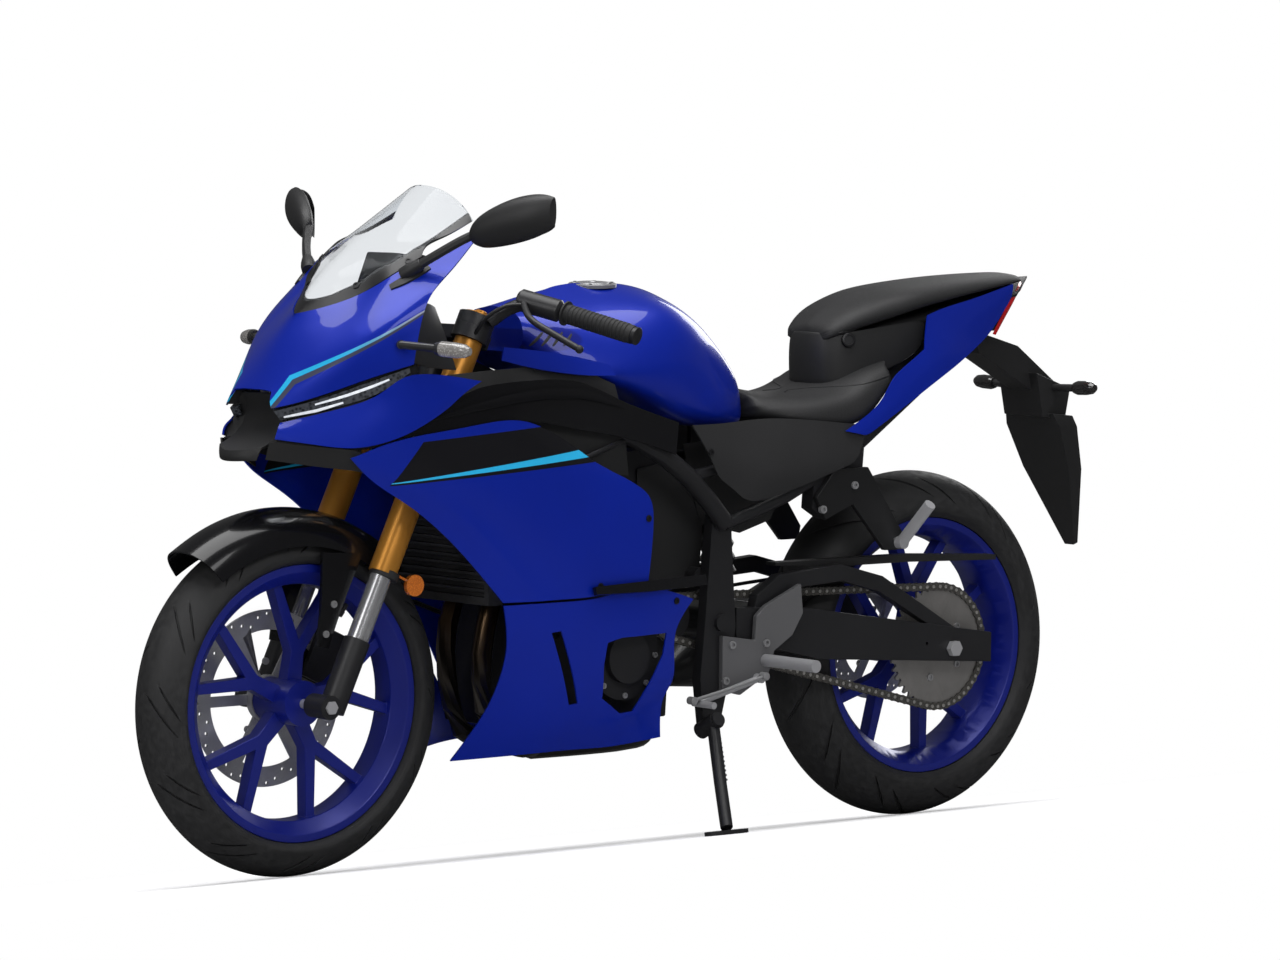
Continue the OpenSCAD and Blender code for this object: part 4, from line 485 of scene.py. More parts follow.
chain_pitch = 15.875
rear_teeth, front_teeth = 43, 14
rear_wrap_links, front_wrap_links = 27, 5
rear_chain_r = chain_pitch / 2 / math.sin(math.pi / rear_teeth)
front_chain_r = chain_pitch / 2 / math.sin(math.pi / front_teeth)
front_sprocket = Vector((625.1, 400.0))
rear_sprocket = Vector(rear_axle)
chain_out_y = 94.2
span = front_sprocket - rear_sprocket
span_angle = math.atan2(span.y, span.x)
tilt = math.acos((rear_chain_r - front_chain_r) / span.length)
pins = []
for turn in (1, -1):
    direction = Vector((math.cos(span_angle + turn * tilt), math.sin(span_angle + turn * tilt)))
    first = rear_sprocket + rear_chain_r * direction
    second = front_sprocket + front_chain_r * direction
    count = int((second - first).length / chain_pitch)
    for k in range(count + 1):
        pins.append(first.lerp(second, k / count))
wraps = ((rear_sprocket, rear_chain_r, span_angle + tilt, 2 * math.pi - 2 * tilt, rear_wrap_links),
         (front_sprocket, front_chain_r, span_angle - tilt, 2 * tilt, front_wrap_links))
for middle, radius, start, wrap, links in wraps:
    for k in range(1, links):
        angle = start + wrap * k / links
        pins.append(middle + radius * Vector((math.cos(angle), math.sin(angle))))
pin_steel = coated("pin_steel", (0.4, 0.39, 0.37), 0.36, 1300, 0.1, Metallic=0.5)
pin_spots = [(at(p.x, chain_out_y, p.y), toward(0, 1, 0)) for p in pins]
fasten("chain_pins", "chassis", pin_spots, 3.0, 1.0, pin_steel, socket_share=0.5)
moulded_black = coated("moulded_black", (0.016, 0.016, 0.017), 0.5, 1100, 0.35)
rounded("chain_guard", 0.0008, moulded_black)

# Wheels: cast aluminium with five forked spokes in deep gloss blue, the edges rounded as cast.
# Five bolts hold each disc to its wheel, and five more the sprocket.
wheel_blue, shader, place = shade("wheel_blue_paint", Metallic=0.3, Coat_Weight=0.5, Coat_Roughness=0.35)
cloud = place.noise(7.0)
feed(shader, Base_Color=cloud.blend((0.002, 0.009, 0.2, 1), (0.003, 0.012, 0.26, 1)),
     Roughness=0.28 + place.noise(2200, 2.0) * 0.1, Normal=bump(place.noise(500), 0.03, 0.0005))
for node in ("front_rim", "rear_rim"):
    rounded(node, 0.0018, wheel_blue)
bolt_steel = coated("bolt_steel", (0.36, 0.36, 0.37), 0.34, 1300, 0.1, Metallic=0.55)
bolt_black = coated("bolt_black", (0.018, 0.018, 0.02), 0.36, 1300, 0.1, Metallic=0.4)
front_disc_spots = on_circle(front_axle, radius=62, y=-62.5, count=5, start=18, facing=-1)
rear_disc_spots = on_circle(rear_axle, radius=54, y=-84.2, count=5, start=18, facing=-1)
sprocket_spots = on_circle(rear_axle, radius=58, y=91.2, count=5, start=0, facing=1)
fasten("front_disc_bolts", "front_wheel", front_disc_spots, 6, 2.5, bolt_steel)
fasten("rear_disc_bolts", "rear_wheel", rear_disc_spots, 6, 2.5, bolt_steel)
fasten("sprocket_bolts", "rear_wheel", sprocket_spots, 6.5, 2.5, bolt_steel)

# Tyres: radial road tyres with sickle grooves moulded into the tread. The grid of the tread runs along the
# grooves, so that their walls stay clean, and the side walls run down to the rim's flange.
crease_angle = math.radians(40)


def shape_mesh(name, *shapes, sharp=crease_angle):
    """One mesh from (points, faces) shapes, faces outwards and smooth between sharp edges."""
    points = []
    faces = []
    for shape_points, shape_faces in shapes:
        offset = len(points)
        points.extend(shape_points)
        faces.extend(tuple(offset + index for index in face) for face in shape_faces)
    mesh = bpy.data.meshes.new(name)
    mesh.from_pydata(points, [], faces)
    work = bmesh.new()
    work.from_mesh(mesh)
    bmesh.ops.recalc_face_normals(work, faces=work.faces)
    for face in work.faces:
        face.smooth = True
    work.to_mesh(mesh)
    work.free()
    mesh.set_sharp_from_angle(angle=sharp)
    return mesh


def tyre_shape(axle, crown, rim_half, blocks, lead):
    """A tyre (mm) on the ground under its axle; its grooves repeat in blocks, swept by a lead."""
    radius = axle[1]
    groove_depth = 4.0
    groove_half, wall = 0.021, 0.006
    flange_r, bead_drop, bead_in = 232.0, 13.0, 10.0
    crown_angle = math.radians(80)
    crown_steps, side_steps, plain_columns = 26, 7, 20
    ridge_step, ridge_height = 4, 0.9
    grooves = [(0.25, 1, 0.09, 0.84), (0.75, -1, 0.09, 0.84), (0.52, 1, 0.42, 0.93), (0.02, -1, 0.42, 0.93)]
    columns = []
    for middle, side, start, end in grooves:
        for offset in (-groove_half - wall, -groove_half, groove_half, groove_half + wall):
            columns.append((middle + offset, middle, offset))
    for k in range(plain_columns):
        share = k / plain_columns
        if all(abs((share - g[0] + 0.5) % 1 - 0.5) > groove_half + 2 * wall for g in grooves):
            columns.append((share, share, 0.0))
    columns.sort()
    half = []
    for k in range(crown_steps + 1):
        angle = crown_angle * k / crown_steps
        r = radius - crown + crown * math.cos(angle)
        half.append((r, crown * math.sin(angle), k / crown_steps, angle))
    top = half[-1]
    hip = (flange_r + 0.55 * (top[0] - flange_r), crown)
    foot = (flange_r + 0.6, rim_half + 1.5)
    for k in range(1, side_steps + 1):
        t = k / side_steps
        ridge = ridge_height if k == ridge_step else 0.0
        r = (1 - t) ** 2 * top[0] + 2 * t * (1 - t) * hip[0] + t * t * foot[0]
        y = (1 - t) ** 2 * top[1] + 2 * t * (1 - t) * hip[1] + t * t * foot[1] + ridge
        half.append((r, y, 2.0, crown_angle))
    half.append((flange_r + 0.3, rim_half - bead_in, 2.0, crown_angle))
    half.append((flange_r - bead_drop + 1, rim_half - bead_in, 2.0, crown_angle))
    rows = [(r, -y, s, a) for r, y, s, a in reversed(half)] + half[1:]
    points = []
    for block in range(blocks):
        for share, middle, offset in columns:
            for r, y, s, a in rows:
                depth = 0.0
                swell = 1.0
                side = 1 if y > 0 else -1
                for groove_middle, groove_side, start, end in grooves:
                    if groove_middle == middle and groove_side == side and s <= 1:
                        along = min(max((s - start) / (end - start), 0), 1)
                        swell = 0.25 + 0.75 * math.sin(math.pi * along) ** 0.6
                        if abs(offset) <= groove_half:
                            depth = groove_depth * min(1, 6 * along, 6 * (1 - along))
                turn = (block + middle + offset * swell) / blocks * 2 * math.pi + lead * min(s, 1) ** 1.35
                reach = r - depth * math.cos(a)
                wide = y - side * depth * math.sin(a)
                points.append(at(axle[0] + reach * math.cos(turn), wide, axle[1] + reach * math.sin(turn)))
    faces = []
    ring, total = len(rows), blocks * len(columns)
    for c in range(total):
        for k in range(ring):
            following = (c + 1) % total
            upper = (k + 1) % ring
            faces.append((c * ring + k, following * ring + k, following * ring + upper, c * ring + upper))
    return points, faces


rubber, shader, place = shade("tyre_rubber")
dust = place.noise(90).rise(0.3, 0.8)
feed(shader, Base_Color=dust.blend((0.014, 0.014, 0.015, 1), (0.022, 0.022, 0.023, 1)),
     Roughness=0.55 + dust * 0.2, Normal=bump(place.noise(1500, 3.0), 0.2, 0.0006))
front_tread = tyre_shape(front_axle, crown=56.5, rim_half=44, blocks=12, lead=-0.36)
rear_tread = tyre_shape(rear_axle, crown=73, rim_half=59, blocks=11, lead=0.40)
finished(shape_mesh("front_tyre_tread", front_tread), "front_tyre", rubber)
finished(shape_mesh("rear_tyre_tread", rear_tread), "rear_tyre", rubber)


# Valve stems: rubber snap-in stems that stand inward from each rim well, with a screwed cap.
# They are pulled through the rim from inside the tyre.
def tube_faces(rings, count):
    """Faces round a tube of rings with count points each, and over both of its ends."""
    faces = [tuple(range(count)), tuple(range((rings - 1) * count, rings * count))]
    for low in range(0, (rings - 1) * count, count):
        for k in range(count):
            after = (k + 1) % count
            faces.append((low + k, low + after, low + count + after, low + count + k))
    return faces


def round_shape(place, along, profile, sides=20):
    """A turned shape: (distance along, radius) pairs in mm round an axis, closed at both ends."""
    across = along.orthogonal().normalized()
    up = along.cross(across)
    points = []
    for step, radius in profile:
        for c, s in round_steps(sides):
            points.append(place + along * (step / 1000) + (across * c + up * s) * (radius / 1000))
    return points, tube_faces(len(profile), sides)


def fitted(name, body, slot, finish, *shapes, sharp=crease_angle):
    """A piece made from (points, faces) shapes that stands for no CAD node."""
    mesh = shape_mesh(name, *shapes, sharp=sharp)
    mesh.materials.append(finish)
    return added(mesh, name, body)


rim_well_r = 206
valve_profile = [(0, 6.5), (4, 6), (6, 4), (22, 3.6), (22.5, 4.6), (32, 4.4), (33, 2.5)]
for wheel, axle, angle in (("front_wheel", front_axle, 128), ("rear_wheel", rear_axle, 38)):
    out = Vector((math.cos(math.radians(angle)), 0, math.sin(math.radians(angle))))
    foot = at(axle[0] + rim_well_r * out.x, 0, axle[1] + rim_well_r * out.z)
    stem = round_shape(foot, toward(*(-out)), valve_profile, 12)
    fitted(wheel + "_valve", wheel, "tyre_rubber", rubber, stem)


# Fork: gold anodised outer tubes over hard-chromed inner tubes, black wipers, black cast feet and clamps.
# The clamps grip the outer tubes, and the feet carry the axle.
def fork_spot(along, y, ahead=0.0):
    """A point on a fork leg, in mm up from the axle along the leg, to the left and ahead of the leg."""
    lead = ahead - axle_lead
    return (front_axle[0] + lead * math.cos(rake) - along * math.sin(rake), y,
            front_axle[1] + lead * math.sin(rake) + along * math.cos(rake))


def on_legs(along, profile, sides):
    """The same turned shape round both fork legs."""
    axis = toward(-math.sin(rake), 0, math.cos(rake))
    return [round_shape(at(*fork_spot(along, side * fork_half)), axis, profile, sides) for side in (1, -1)]


rake = math.radians(25)
axle_lead, fork_half = 24.5, 98
wiper_along, cap_along = 248, 716
wiper_profile = [(-9, 20), (-8, 24.4), (0, 25.4), (4, 25.4), (5, 24)]
cap_profile = [(-1, 20), (0.5, 20), (1.5, 18.5), (2, 11), (7, 10.5), (8, 9), (8.2, 4), (6, 3.5)]
gold = coated("gold_anodised", (0.62, 0.27, 0.04), 0.32, 1500, 0.05, Metallic=0.6)
chrome = coated("hard_chrome", (0.6, 0.6, 0.62), 0.22, 1500, 0.0, Metallic=0.8)
rounded("fork_outers", 0.001, gold)
rounded("fork_inners", 0, chrome)
for node in ("triple_clamps", "fork_bottoms"):
    rounded(node, 0.002, satin_black)
fitted("fork_wipers", "steering", "grip_rubber", rubber, *on_legs(wiper_along, wiper_profile, 32))
fitted("fork_caps", "steering", "fork_gold", gold, *on_legs(cap_along, cap_profile, 24))

# Bars, switches and levers: black tube, moulded switch pods and cast levers with a ball at the tip.
# The bars clamp round the fork's outer tubes.
rounded("bars", 0.0012, satin_black)
smoothed("hand_levers", 1, satin_black)
lever_tip, button_spot = (1029.5, 332, 884), (984, 196, 958)
ball_profile = [(-7, 2), (-6, 4), (-3, 6.6), (0, 7.4), (3, 6.6), (6, 4), (7.2, 1)]
button_profile = [(-4, 6), (3, 6), (4.5, 5), (5, 2)]
balls, buttons = [], []
for side in (1, -1):
    tip = at(lever_tip[0], side * lever_tip[1], lever_tip[2])
    button = at(button_spot[0], side * button_spot[1], button_spot[2])
    balls.append(round_shape(tip, toward(-0.1, side, -0.2), ball_profile, 16))
    buttons.append(round_shape(button, toward(-0.75, 0, 0.65), button_profile, 14))
switch_grey = coated("switch_grey", (0.2, 0.2, 0.21), 0.45, 900, 0.2)
switch_red = coated("switch_red", (0.4, 0.01, 0.01), 0.4, 900, 0.2)
fitted("lever_balls", "steering", "frame_black", satin_black, *balls)
fitted("switch_buttons", "steering", "grey_plastic", switch_grey, buttons[0])
fitted("stop_button", "steering", "grey_plastic", switch_red, buttons[1])

# Grips: soft rubber sleeves with a row of raised rings, an inner flange and a black weight at the bar's end.
# They are pushed over the bars and glued.
grip_in, grip_out = Vector((975, 226, 939)), Vector((926, 346, 906))
grip_rubber = coated("grip_rubber", (0.014, 0.014, 0.015), 0.7, 1300, 0.4)
sleeve = [(0, 12), (0, 21), (3, 21), (4, 16.2)]
grip_length = (grip_out - grip_in).length
grip_rings = 15
for k in range(grip_rings):
    start = 8 + (grip_length - 16) * k / grip_rings
    sleeve += [(start, 15.6), (start + 1.2, 16.9), (start + 4.4, 16.9), (start + 5.6, 15.6)]
sleeve += [(grip_length - 4, 16), (grip_length, 15.5), (grip_length, 9)]
weight = [(grip_length, 8), (grip_length + 0.5, 14.5), (grip_length + 8, 15.5), (grip_length + 9, 14),
          (grip_length + 9.2, 5)]
sleeves, weights = [], []
for side in (1, -1):
    start, axis = at(grip_in.x, side * grip_in.y, grip_in.z), grip_out - grip_in
    axis = toward(axis.x, side * axis.y, axis.z)
    sleeves.append(round_shape(start, axis, sleeve, 28))
    weights.append(round_shape(start, axis, weight, 28))
finished(shape_mesh("grip_sleeves", *sleeves), "grips", grip_rubber)
fitted("bar_weights", "steering", "frame_black", satin_black, *weights)


# Brake hose, clutch cable and throttle cables: black hoses clipped along the fork and led to the head.
# They turn with the steering as one piece.
def hose(points, radius, sides=12, steps=7):
    """A round hose of a radius (mm) through points of the upright bike."""
    path = [at(*point) for point in points]
    line = []
    for k in range(len(path) - 1):
        a, b, c, d = path[max(k - 1, 0)], path[k], path[k + 1], path[min(k + 2, len(path) - 1)]
        for step in range(steps):
            t = step / steps
            line.append(0.5 * (2 * b + (c - a) * t + (2 * a - 5 * b + 4 * c - d) * t ** 2
                               + (3 * b - a - 3 * c + d) * t ** 3))
    line.append(path[-1])
    points = []
    side = None
    for k, place in enumerate(line):
        ahead = (line[min(k + 1, len(line) - 1)] - line[max(k - 1, 0)]).normalized()
        side = ahead.orthogonal() if side is None else side - ahead * side.dot(ahead)
        side.normalize()
        up = ahead.cross(side)
        for c, s in round_steps(sides):
            points.append(place + (side * c + up * s) * (radius / 1000))
    return points, tube_faces(len(line), sides)


hose_black = coated("hose_black", (0.012, 0.012, 0.013), 0.4, 1600, 0.15)
hoses = [hose([(1022, -176, 957), (1048, -172, 962), (1072, -150, 944), fork_spot(660, -122, -22),
               fork_spot(540, -118, -26), fork_spot(400, -116, -28), fork_spot(280, -112, -30),
               fork_spot(180, -96, -34), (1262, -80, 408)], 4),
         hose([(1030, 182, 952), (1060, 172, 950), (1082, 146, 928), (1086, 112, 890), (1074, 60, 856)], 3.6),
         hose([(1008, -150, 962), (1050, -128, 958), (1086, -96, 924), (1080, -50, 866)], 3.2),
         hose([(1012, -158, 958), (1056, -140, 952), (1092, -106, 914), (1084, -60, 858)], 3.2)]
fitted("hoses_and_cables", "steering", "grip_rubber", hose_black, *hoses)


# Bodywork: thin injection-moulded panels in blue metallic under clear coat, with a black wedge and a cyan
# stripe along the side and a cyan line over each lamp, laid out in the upright bike's side view, and a dark strip
# of painted shadow under the stripe and under each line. The panels are screwed to the stays and to each other.
def above(x, z, first, second):
    """How far (m) a point lies above the line through two side-view points (x, z in mm)."""
    slope = (second[1] - first[1]) / (second[0] - first[0])
    return z - x * slope - (first[1] - rear_axle_height - slope * first[0]) * 0.001


def inside(distance):
    """1 where a distance (m) is above zero and 0 below, with a soft step of 1 mm."""
    return distance.rise(-0.0005, 0.0005)


def between(value, low, high):
    """1 where a value lies from low to high."""
    return inside(value - low) * (1 - inside(value - high))


def blue_paint(name):
    """Blue metallic paint: returns its material, shader, coordinates and still unfed colour."""
    material, shader, place = shade(name, Metallic=0.25, Coat_Weight=0.5, Coat_Roughness=0.03,
                                    Specular_IOR_Level=0.2)
    flake = place.noise(2600, 2.0)
    cloud = place.noise(5.0)
    colour = cloud.blend((0.001, 0.014, 0.29, 1), (0.0012, 0.018, 0.35, 1))
    feed(shader, Roughness=0.3 + flake * 0.1)
    return material, shader, place, colour


cyan = (0.02, 0.42, 0.74, 1)
trim_and_shadow_black = (0.006, 0.006, 0.008, 1)
fairing_blue, shader, place, colour = blue_paint("fairing_blue_paint")
x, y, z = upright(place)
# Painted shadow: the black wedge runs on a few mm below the cyan stripe, as a dark strip of painted shadow under
# it.
wedge_and_shadow_low, wedge_high = ((1302, 659), (909, 684)), ((1247, 731), (998, 749))
wedge_front = ((1302, 662), (1247, 733))
stripe_low, stripe_high = ((1302, 662), (909, 693.5)), ((1302, 663.5), (928, 706))
wedge_and_shadow = inside(above(x, z, *wedge_and_shadow_low)) * (1 - inside(above(x, z, *wedge_high)))
wedge_and_shadow = wedge_and_shadow * (1 - inside(above(x, z, *wedge_front)))
stripe = inside(above(x, z, *stripe_low)) * (1 - inside(above(x, z, *stripe_high)))
colour = wedge_and_shadow.blend(colour, trim_and_shadow_black)
feed(shader, Base_Color=(wedge_and_shadow * stripe).blend(colour, cyan), Metallic=0.25 - wedge_and_shadow * 0.25)
for node in ("side_fairings", "lower_cowls"):
    smoothed(node, 3, fairing_blue)

nose_blue, shader, place, colour = blue_paint("nose_blue_paint")
x, y, z = upright(place)
line_points = [(1215, 962), (1254, 941), (1335, 893), (1426, 836), (1463, 790)]
line_mask = 0.0
shadow_mask = 0.0
for first, second in zip(line_points, line_points[1:]):
    gap = above(x, z, first, second)
    reach = between(x, first[0] * 0.001, second[0] * 0.001)
    half = 0.0012 + x.rise(1.2, 1.46) * 0.002
    line_mask = line_mask + reach * inside(gap + half) * (1 - inside(gap - half))
    shadow_mask = shadow_mask + reach * inside(gap + half * 3.5) * (1 - inside(gap + half))
colour = shadow_mask.blend(colour, (0.05, 0.055, 0.09, 1))
feed(shader, Base_Color=line_mask.blend(colour, x.rise(1.25, 1.38).blend((0.3, 0.33, 0.4, 1), cyan)))
smoothed("nose_cowl", 3, nose_blue)

tail_blue, shader, place, colour = blue_paint("tail_blue_paint")
feed(shader, Base_Color=colour)
smoothed("tail_panels", 2, tail_blue)

# Fuel tank: a pressed steel tank under a moulded cover, with a lockable cap let into the top. On each side the
# shade of a recess is painted as a darker oval, and the shade in its slanted slits as thin raised black strips.
tank_blue, shader, place, colour = blue_paint("tank_blue_paint")
x, y, z = upright(place)
# Painted shade: the side is darkened in an oval round the slits, where the recess lies in shade.
recess_shade_x, recess_shade_z = 0.914, 0.576
across = (x - recess_shade_x) * 16.0
high = (z - recess_shade_z) * 46.0
recess_shade = 1 - (across * across + high * high).rise(0.8, 1.1)
feed(shader, Base_Color=(recess_shade * 0.55).blend(colour, (0.002, 0.003, 0.1, 1)))
smoothed("fuel_tank", 3, tank_blue)


def on_skin(node, x, z, side):
    """The place and outward normal where a panel is met from the left (1) or the right (-1)."""
    outside_y = 600
    inward = toward(0, -side, 0)
    place, normal, face, distance = skins[node].ray_cast(at(x, side * outside_y, z), inward)
    if place is None:
        return None
    return place, normal if normal.dot(inward) < 0 else -normal


def spots_on(node, places, sides=(1, -1)):
    """The spots of side-view places (x, z in mm) on a panel; a place that misses it is dropped."""
    spots = [on_skin(node, x, z, side) for x, z in places for side in sides]
    return [spot for spot in spots if spot]


def ribbon(node, path, side, width, height, taper):
    """A raised strip that follows a panel along side-view points; taper narrows both ends."""
    leg_steps = 6
    spots = []
    steps = leg_steps * (len(path) - 1)
    for k in range(steps + 1):
        leg = min(k // leg_steps, len(path) - 2)
        t = k / leg_steps - leg
        spot = on_skin(node, path[leg][0] * (1 - t) + path[leg + 1][0] * t,
                       path[leg][1] * (1 - t) + path[leg + 1][1] * t, side)
        if spot:
            spots.append((spot[0], spot[1], k / steps))
    section = ((-1, -0.6), (-0.8, 0.75), (0, 1), (0.8, 0.75), (1, -0.6))
    points = []
    for k, (place, normal, share) in enumerate(spots):
        ahead = (spots[min(k + 1, len(spots) - 1)][0] - spots[max(k - 1, 0)][0]).normalized()
        across = normal.cross(ahead).normalized()
        swell = 1 - taper * abs(2 * share - 1) ** 2
        for wide, rise in section:
            out = across * (wide * width / 2000) + normal * (rise * height / 1000)
            points.append(place + out * swell)
    return points, tube_faces(len(spots), len(section)) if spots else []


def ribbons(node, paths, width, height, taper=0.0):
    """Every path's strip, on the left and on the right."""
    return [ribbon(node, path, side, width, height, taper) for path in paths for side in (1, -1)]


# Painted shade: thin raised black strips stand for the shade inside the slanted slits, which are not cut.
slit_shade_paths = [[(942, 878), (919, 901)], [(924, 878), (901, 902)],
              [(906, 878), (884, 901)], [(888, 878), (868, 898)]]
slit_shades = ribbons("fuel_tank", slit_shade_paths, width=6, height=0.7, taper=0.5)
fitted("tank_slit_shades", "chassis", "black_plastic", moulded_black, *slit_shades)
cap_x, over_tank = 735, 1200
cap_place, cap_normal, face, distance = skins["fuel_tank"].ray_cast(at(cap_x, 0, over_tank), toward(0, 0, -1))
filler_profile = [(-6, 42), (-0.5, 42), (0.8, 40), (1, 34), (0, 33), (0, 30), (1.4, 29), (2.6, 26), (2.7, 8),
                  (1.5, 7), (1.5, 2)]
filler = round_shape(cap_place, cap_normal, filler_profile, 40)
fitted("filler_cap", "chassis", "steel", bolt_steel, filler)
cap_side = cap_normal.orthogonal().normalized()
cap_up = cap_normal.cross(cap_side)
cap_bolts, cap_bolt_r, cap_rise = 6, 0.037, 0.0006
cap_spots = []
for c, s in round_steps(cap_bolts):
    out = cap_side * c + cap_up * s
    cap_spots.append((cap_place + cap_normal * cap_rise + out * cap_bolt_r, cap_normal))
fasten("filler_bolts", "chassis", cap_spots, 3, 1.2, bolt_black)

# Gloss black trim: accent panels with a raised blade along their side, side fins, and the front mudguard.
# All are moulded and lacquered, and the mudguard is bolted to the fork's feet.
gloss_black = coated("gloss_black_paint", (0.005, 0.005, 0.006), 0.2, 700, 0.02, Coat_Weight=0.35,
                     Coat_Roughness=0.05, Specular_IOR_Level=0.25)
for node in ("accent_panels", "front_mudguard"):
    smoothed(node, 2, gloss_black)
blade_path = [(1228, 766), (1150, 782), (1066, 796), (985, 803), (907, 800), (850, 788), (800, 772)]
blades = ribbons("accent_panels", [blade_path], width=22, height=6, taper=0.85)
fitted("accent_blades", "chassis", "gloss_black", gloss_black, *blades)

# Nose duct, dash panels and mirrors: black moulded plastic with a fine grain; silvered glass in each mirror.
# Each mirror stands in a boot on a foot that is screwed to the nose.
for node in ("nose_duct", "dash_panels", "mirrors"):
    smoothed(node, 2, moulded_black)
foot_path = [(1268, 983), (1240, 999), (1208, 1017)]
feet = ribbons("nose_cowl", [foot_path], width=20, height=4, taper=0.3)
boot_profile = [(-22, 12), (-8, 13), (3, 12), (16, 9.5), (18, 7)]
boot_spot, boot_lean = (1233.9, 147.4, 1014.1), (-20, 32.6, 22)
boots = []
for side in (1, -1):
    foot = at(boot_spot[0], side * boot_spot[1], boot_spot[2])
    axis = toward(boot_lean[0], side * boot_lean[1], boot_lean[2])
    boots.append(round_shape(foot, axis, boot_profile))
fitted("mirror_feet", "chassis", "black_plastic", moulded_black, *feet, *boots)
mirror_face = coated("mirror_face", (0.8, 0.8, 0.82), 0.03, 300, 0.0, Metallic=1.0)
smoothed("mirror_glass", 1, mirror_face)


# Inner housings: black moulded sheets behind the lamps, inside the accents and under the seat, screwed to the
# stays. They close the body's inside to view as on the real bike.
def sheet_shape(rows, offset):
    """A closed sheet over rows of points (mm) of the upright bike, its thickness given as an offset."""
    count, depth = len(rows[0]), len(rows)
    flat = [Vector(point) for row in rows for point in row]
    points = [at(*point) for point in flat] + [at(*(point + Vector(offset))) for point in flat]
    base = len(flat)
    faces = []
    for r in range(depth - 1):
        for c in range(count - 1):
            first = r * count + c
            quad = (first, first + 1, first + count + 1, first + count)
            faces += [quad, tuple(base + corner for corner in reversed(quad))]
    rim = [*range(count), *range(2 * count - 1, depth * count, count)]
    rim += [*range(depth * count - 2, (depth - 1) * count - 1, -1), *range((depth - 2) * count, 0, -count)]
    faces += [(a, b, base + b, base + a) for a, b in zip(rim, rim[1:] + rim[:1])]
    return points, faces


def full_sheet(rows, offset):
    """A sheet right across the bike, its rows given from the left to the middle."""
    return sheet_shape([row + [(x, -y, z) for x, y, z in reversed(row[:-1])] for row in rows], offset)


def sheet_pair(rows, offset):
    """A sheet on the left and its mirror image on the right."""
    pair = []
    for side in (1, -1):
        turned = [[(x, side * y, z) for x, y, z in row] for row in rows]
        pair.append(sheet_shape(turned, (offset[0], side * offset[1], offset[2])))
    return pair


backward, downward, inward = (-3, 0, 0), (0, 0, -2.5), (0, -2.5, 0)
housing_rows = [[(1252, 180, 868), (1300, 144, 850), (1356, 98, 826), (1402, 54, 806), (1408, 0, 806)],
                [(1254, 182, 838), (1300, 152, 812), (1358, 108, 784), (1396, 58, 770), (1400, 0, 770)],
                [(1248, 176, 790), (1290, 148, 768), (1352, 108, 748), (1400, 62, 738), (1404, 0, 738)],
                [(1240, 150, 735), (1290, 136, 722), (1348, 108, 712), (1404, 64, 706), (1416, 0, 702)]]
bridge_rows = [[(1437, 44, 809), (1446, 66, 788)], [(1423, 48, 771), (1437, 72, 770)],
               [(1443, 54, 736), (1451, 78, 742)], [(1470, 54, 720), (1458, 72, 726)]]
slot_rows = [[[(1450, 60, 786), (1392, 110, 806), (1327, 153, 834), (1270, 186, 857)],
              [(1420, 50, 794), (1362, 96, 816), (1302, 138, 846), (1250, 170, 867)]],
             [[(1440, 64, 764), (1386, 116, 782), (1320, 166, 807), (1270, 190, 844)],
              [(1412, 56, 760), (1358, 104, 776), (1298, 148, 802), (1250, 174, 836)]],
             [[(1464, 66, 733), (1412, 118, 726), (1356, 160, 720)],
              [(1436, 58, 735), (1392, 104, 730), (1338, 146, 725)]]]
brow_rows = [[[(1447, 60, 783), (1389, 109, 803), (1324, 152, 832), (1268, 184, 856)],
              [(1438, 56, 816), (1396, 102, 834), (1330, 144, 858), (1266, 176, 878)]],
             [[(1455, 73, 742), (1410, 121, 735), (1352, 164, 730)],
              [(1456, 71, 720), (1408, 118, 714), (1350, 158, 710)]]]
wall_rows = [[(1412, 40, 826), (1414, 50, 826)], [(1434, 48, 810), (1446, 57, 810)],
             [(1444, 60, 787), (1460, 63, 787)]]
housing = [full_sheet(housing_rows, backward)] + sheet_pair(bridge_rows, backward)
for rows in slot_rows:
    housing += sheet_pair(rows, downward)
for rows in (*brow_rows, wall_rows):
    housing += sheet_pair(rows, backward)
fitted("lamp_housing", "chassis", "black_plastic", moulded_black, *housing)
liner_rows = [[(1200, 165, 836), (1080, 150, 842), (960, 138, 846), (880, 145, 842), (805, 150, 812)],
              [(1215, 174, 790), (1080, 178, 786), (960, 174, 780), (850, 164, 766), (790, 157, 752)],
              [(1215, 176, 720), (1080, 182, 702), (960, 180, 680), (850, 168, 664), (780, 158, 656)]]
tray_rows = [[(350, 88, 705), (470, 88, 712), (600, 88, 700)],
             [(365, 92, 640), (470, 92, 640), (590, 92, 640)],
             [(400, 88, 560), (470, 88, 540), (560, 88, 560)]]
undertail_rows = [[(225, 44, 838), (90, 44, 862), (-80, 40, 890)],
                  [(235, 60, 790), (100, 56, 815), (-70, 44, 850)],
                  [(240, 70, 745), (120, 62, 770), (-60, 46, 830)]]
cover_rows = [[(555, 84, 660), (640, 86, 670), (700, 84, 660)],
              [(555, 88, 560), (640, 90, 560), (705, 88, 560)],
              [(560, 84, 455), (640, 86, 450), (700, 84, 445)]]
liners = []
for rows in (liner_rows, tray_rows, cover_rows, undertail_rows):
    liners += sheet_pair(rows, inward)
fitted("inner_liners", "chassis", "black_plastic", moulded_black, *liners)


# Instrument: a black housing with a dark display under a gloss cover, facing the rider.
# The cover is a thin pane with a raised rim, set over the housing's face.
def display_ring(inset, lift):
    """The four corners of the pane, drawn in by an inset and raised by a lift (mm)."""
    share = inset / display_length
    ring = []
    for side, end, other in ((1, display_low, display_high), (-1, display_low, display_high),
                             (-1, display_high, display_low), (1, display_high, display_low)):
        x = end[0] + (other[0] - end[0]) * share
        z = end[1] + (other[1] - end[1]) * share
        ring.append(at(x, side * (display_half - inset), z) + display_normal * (lift / 1000))
    return ring


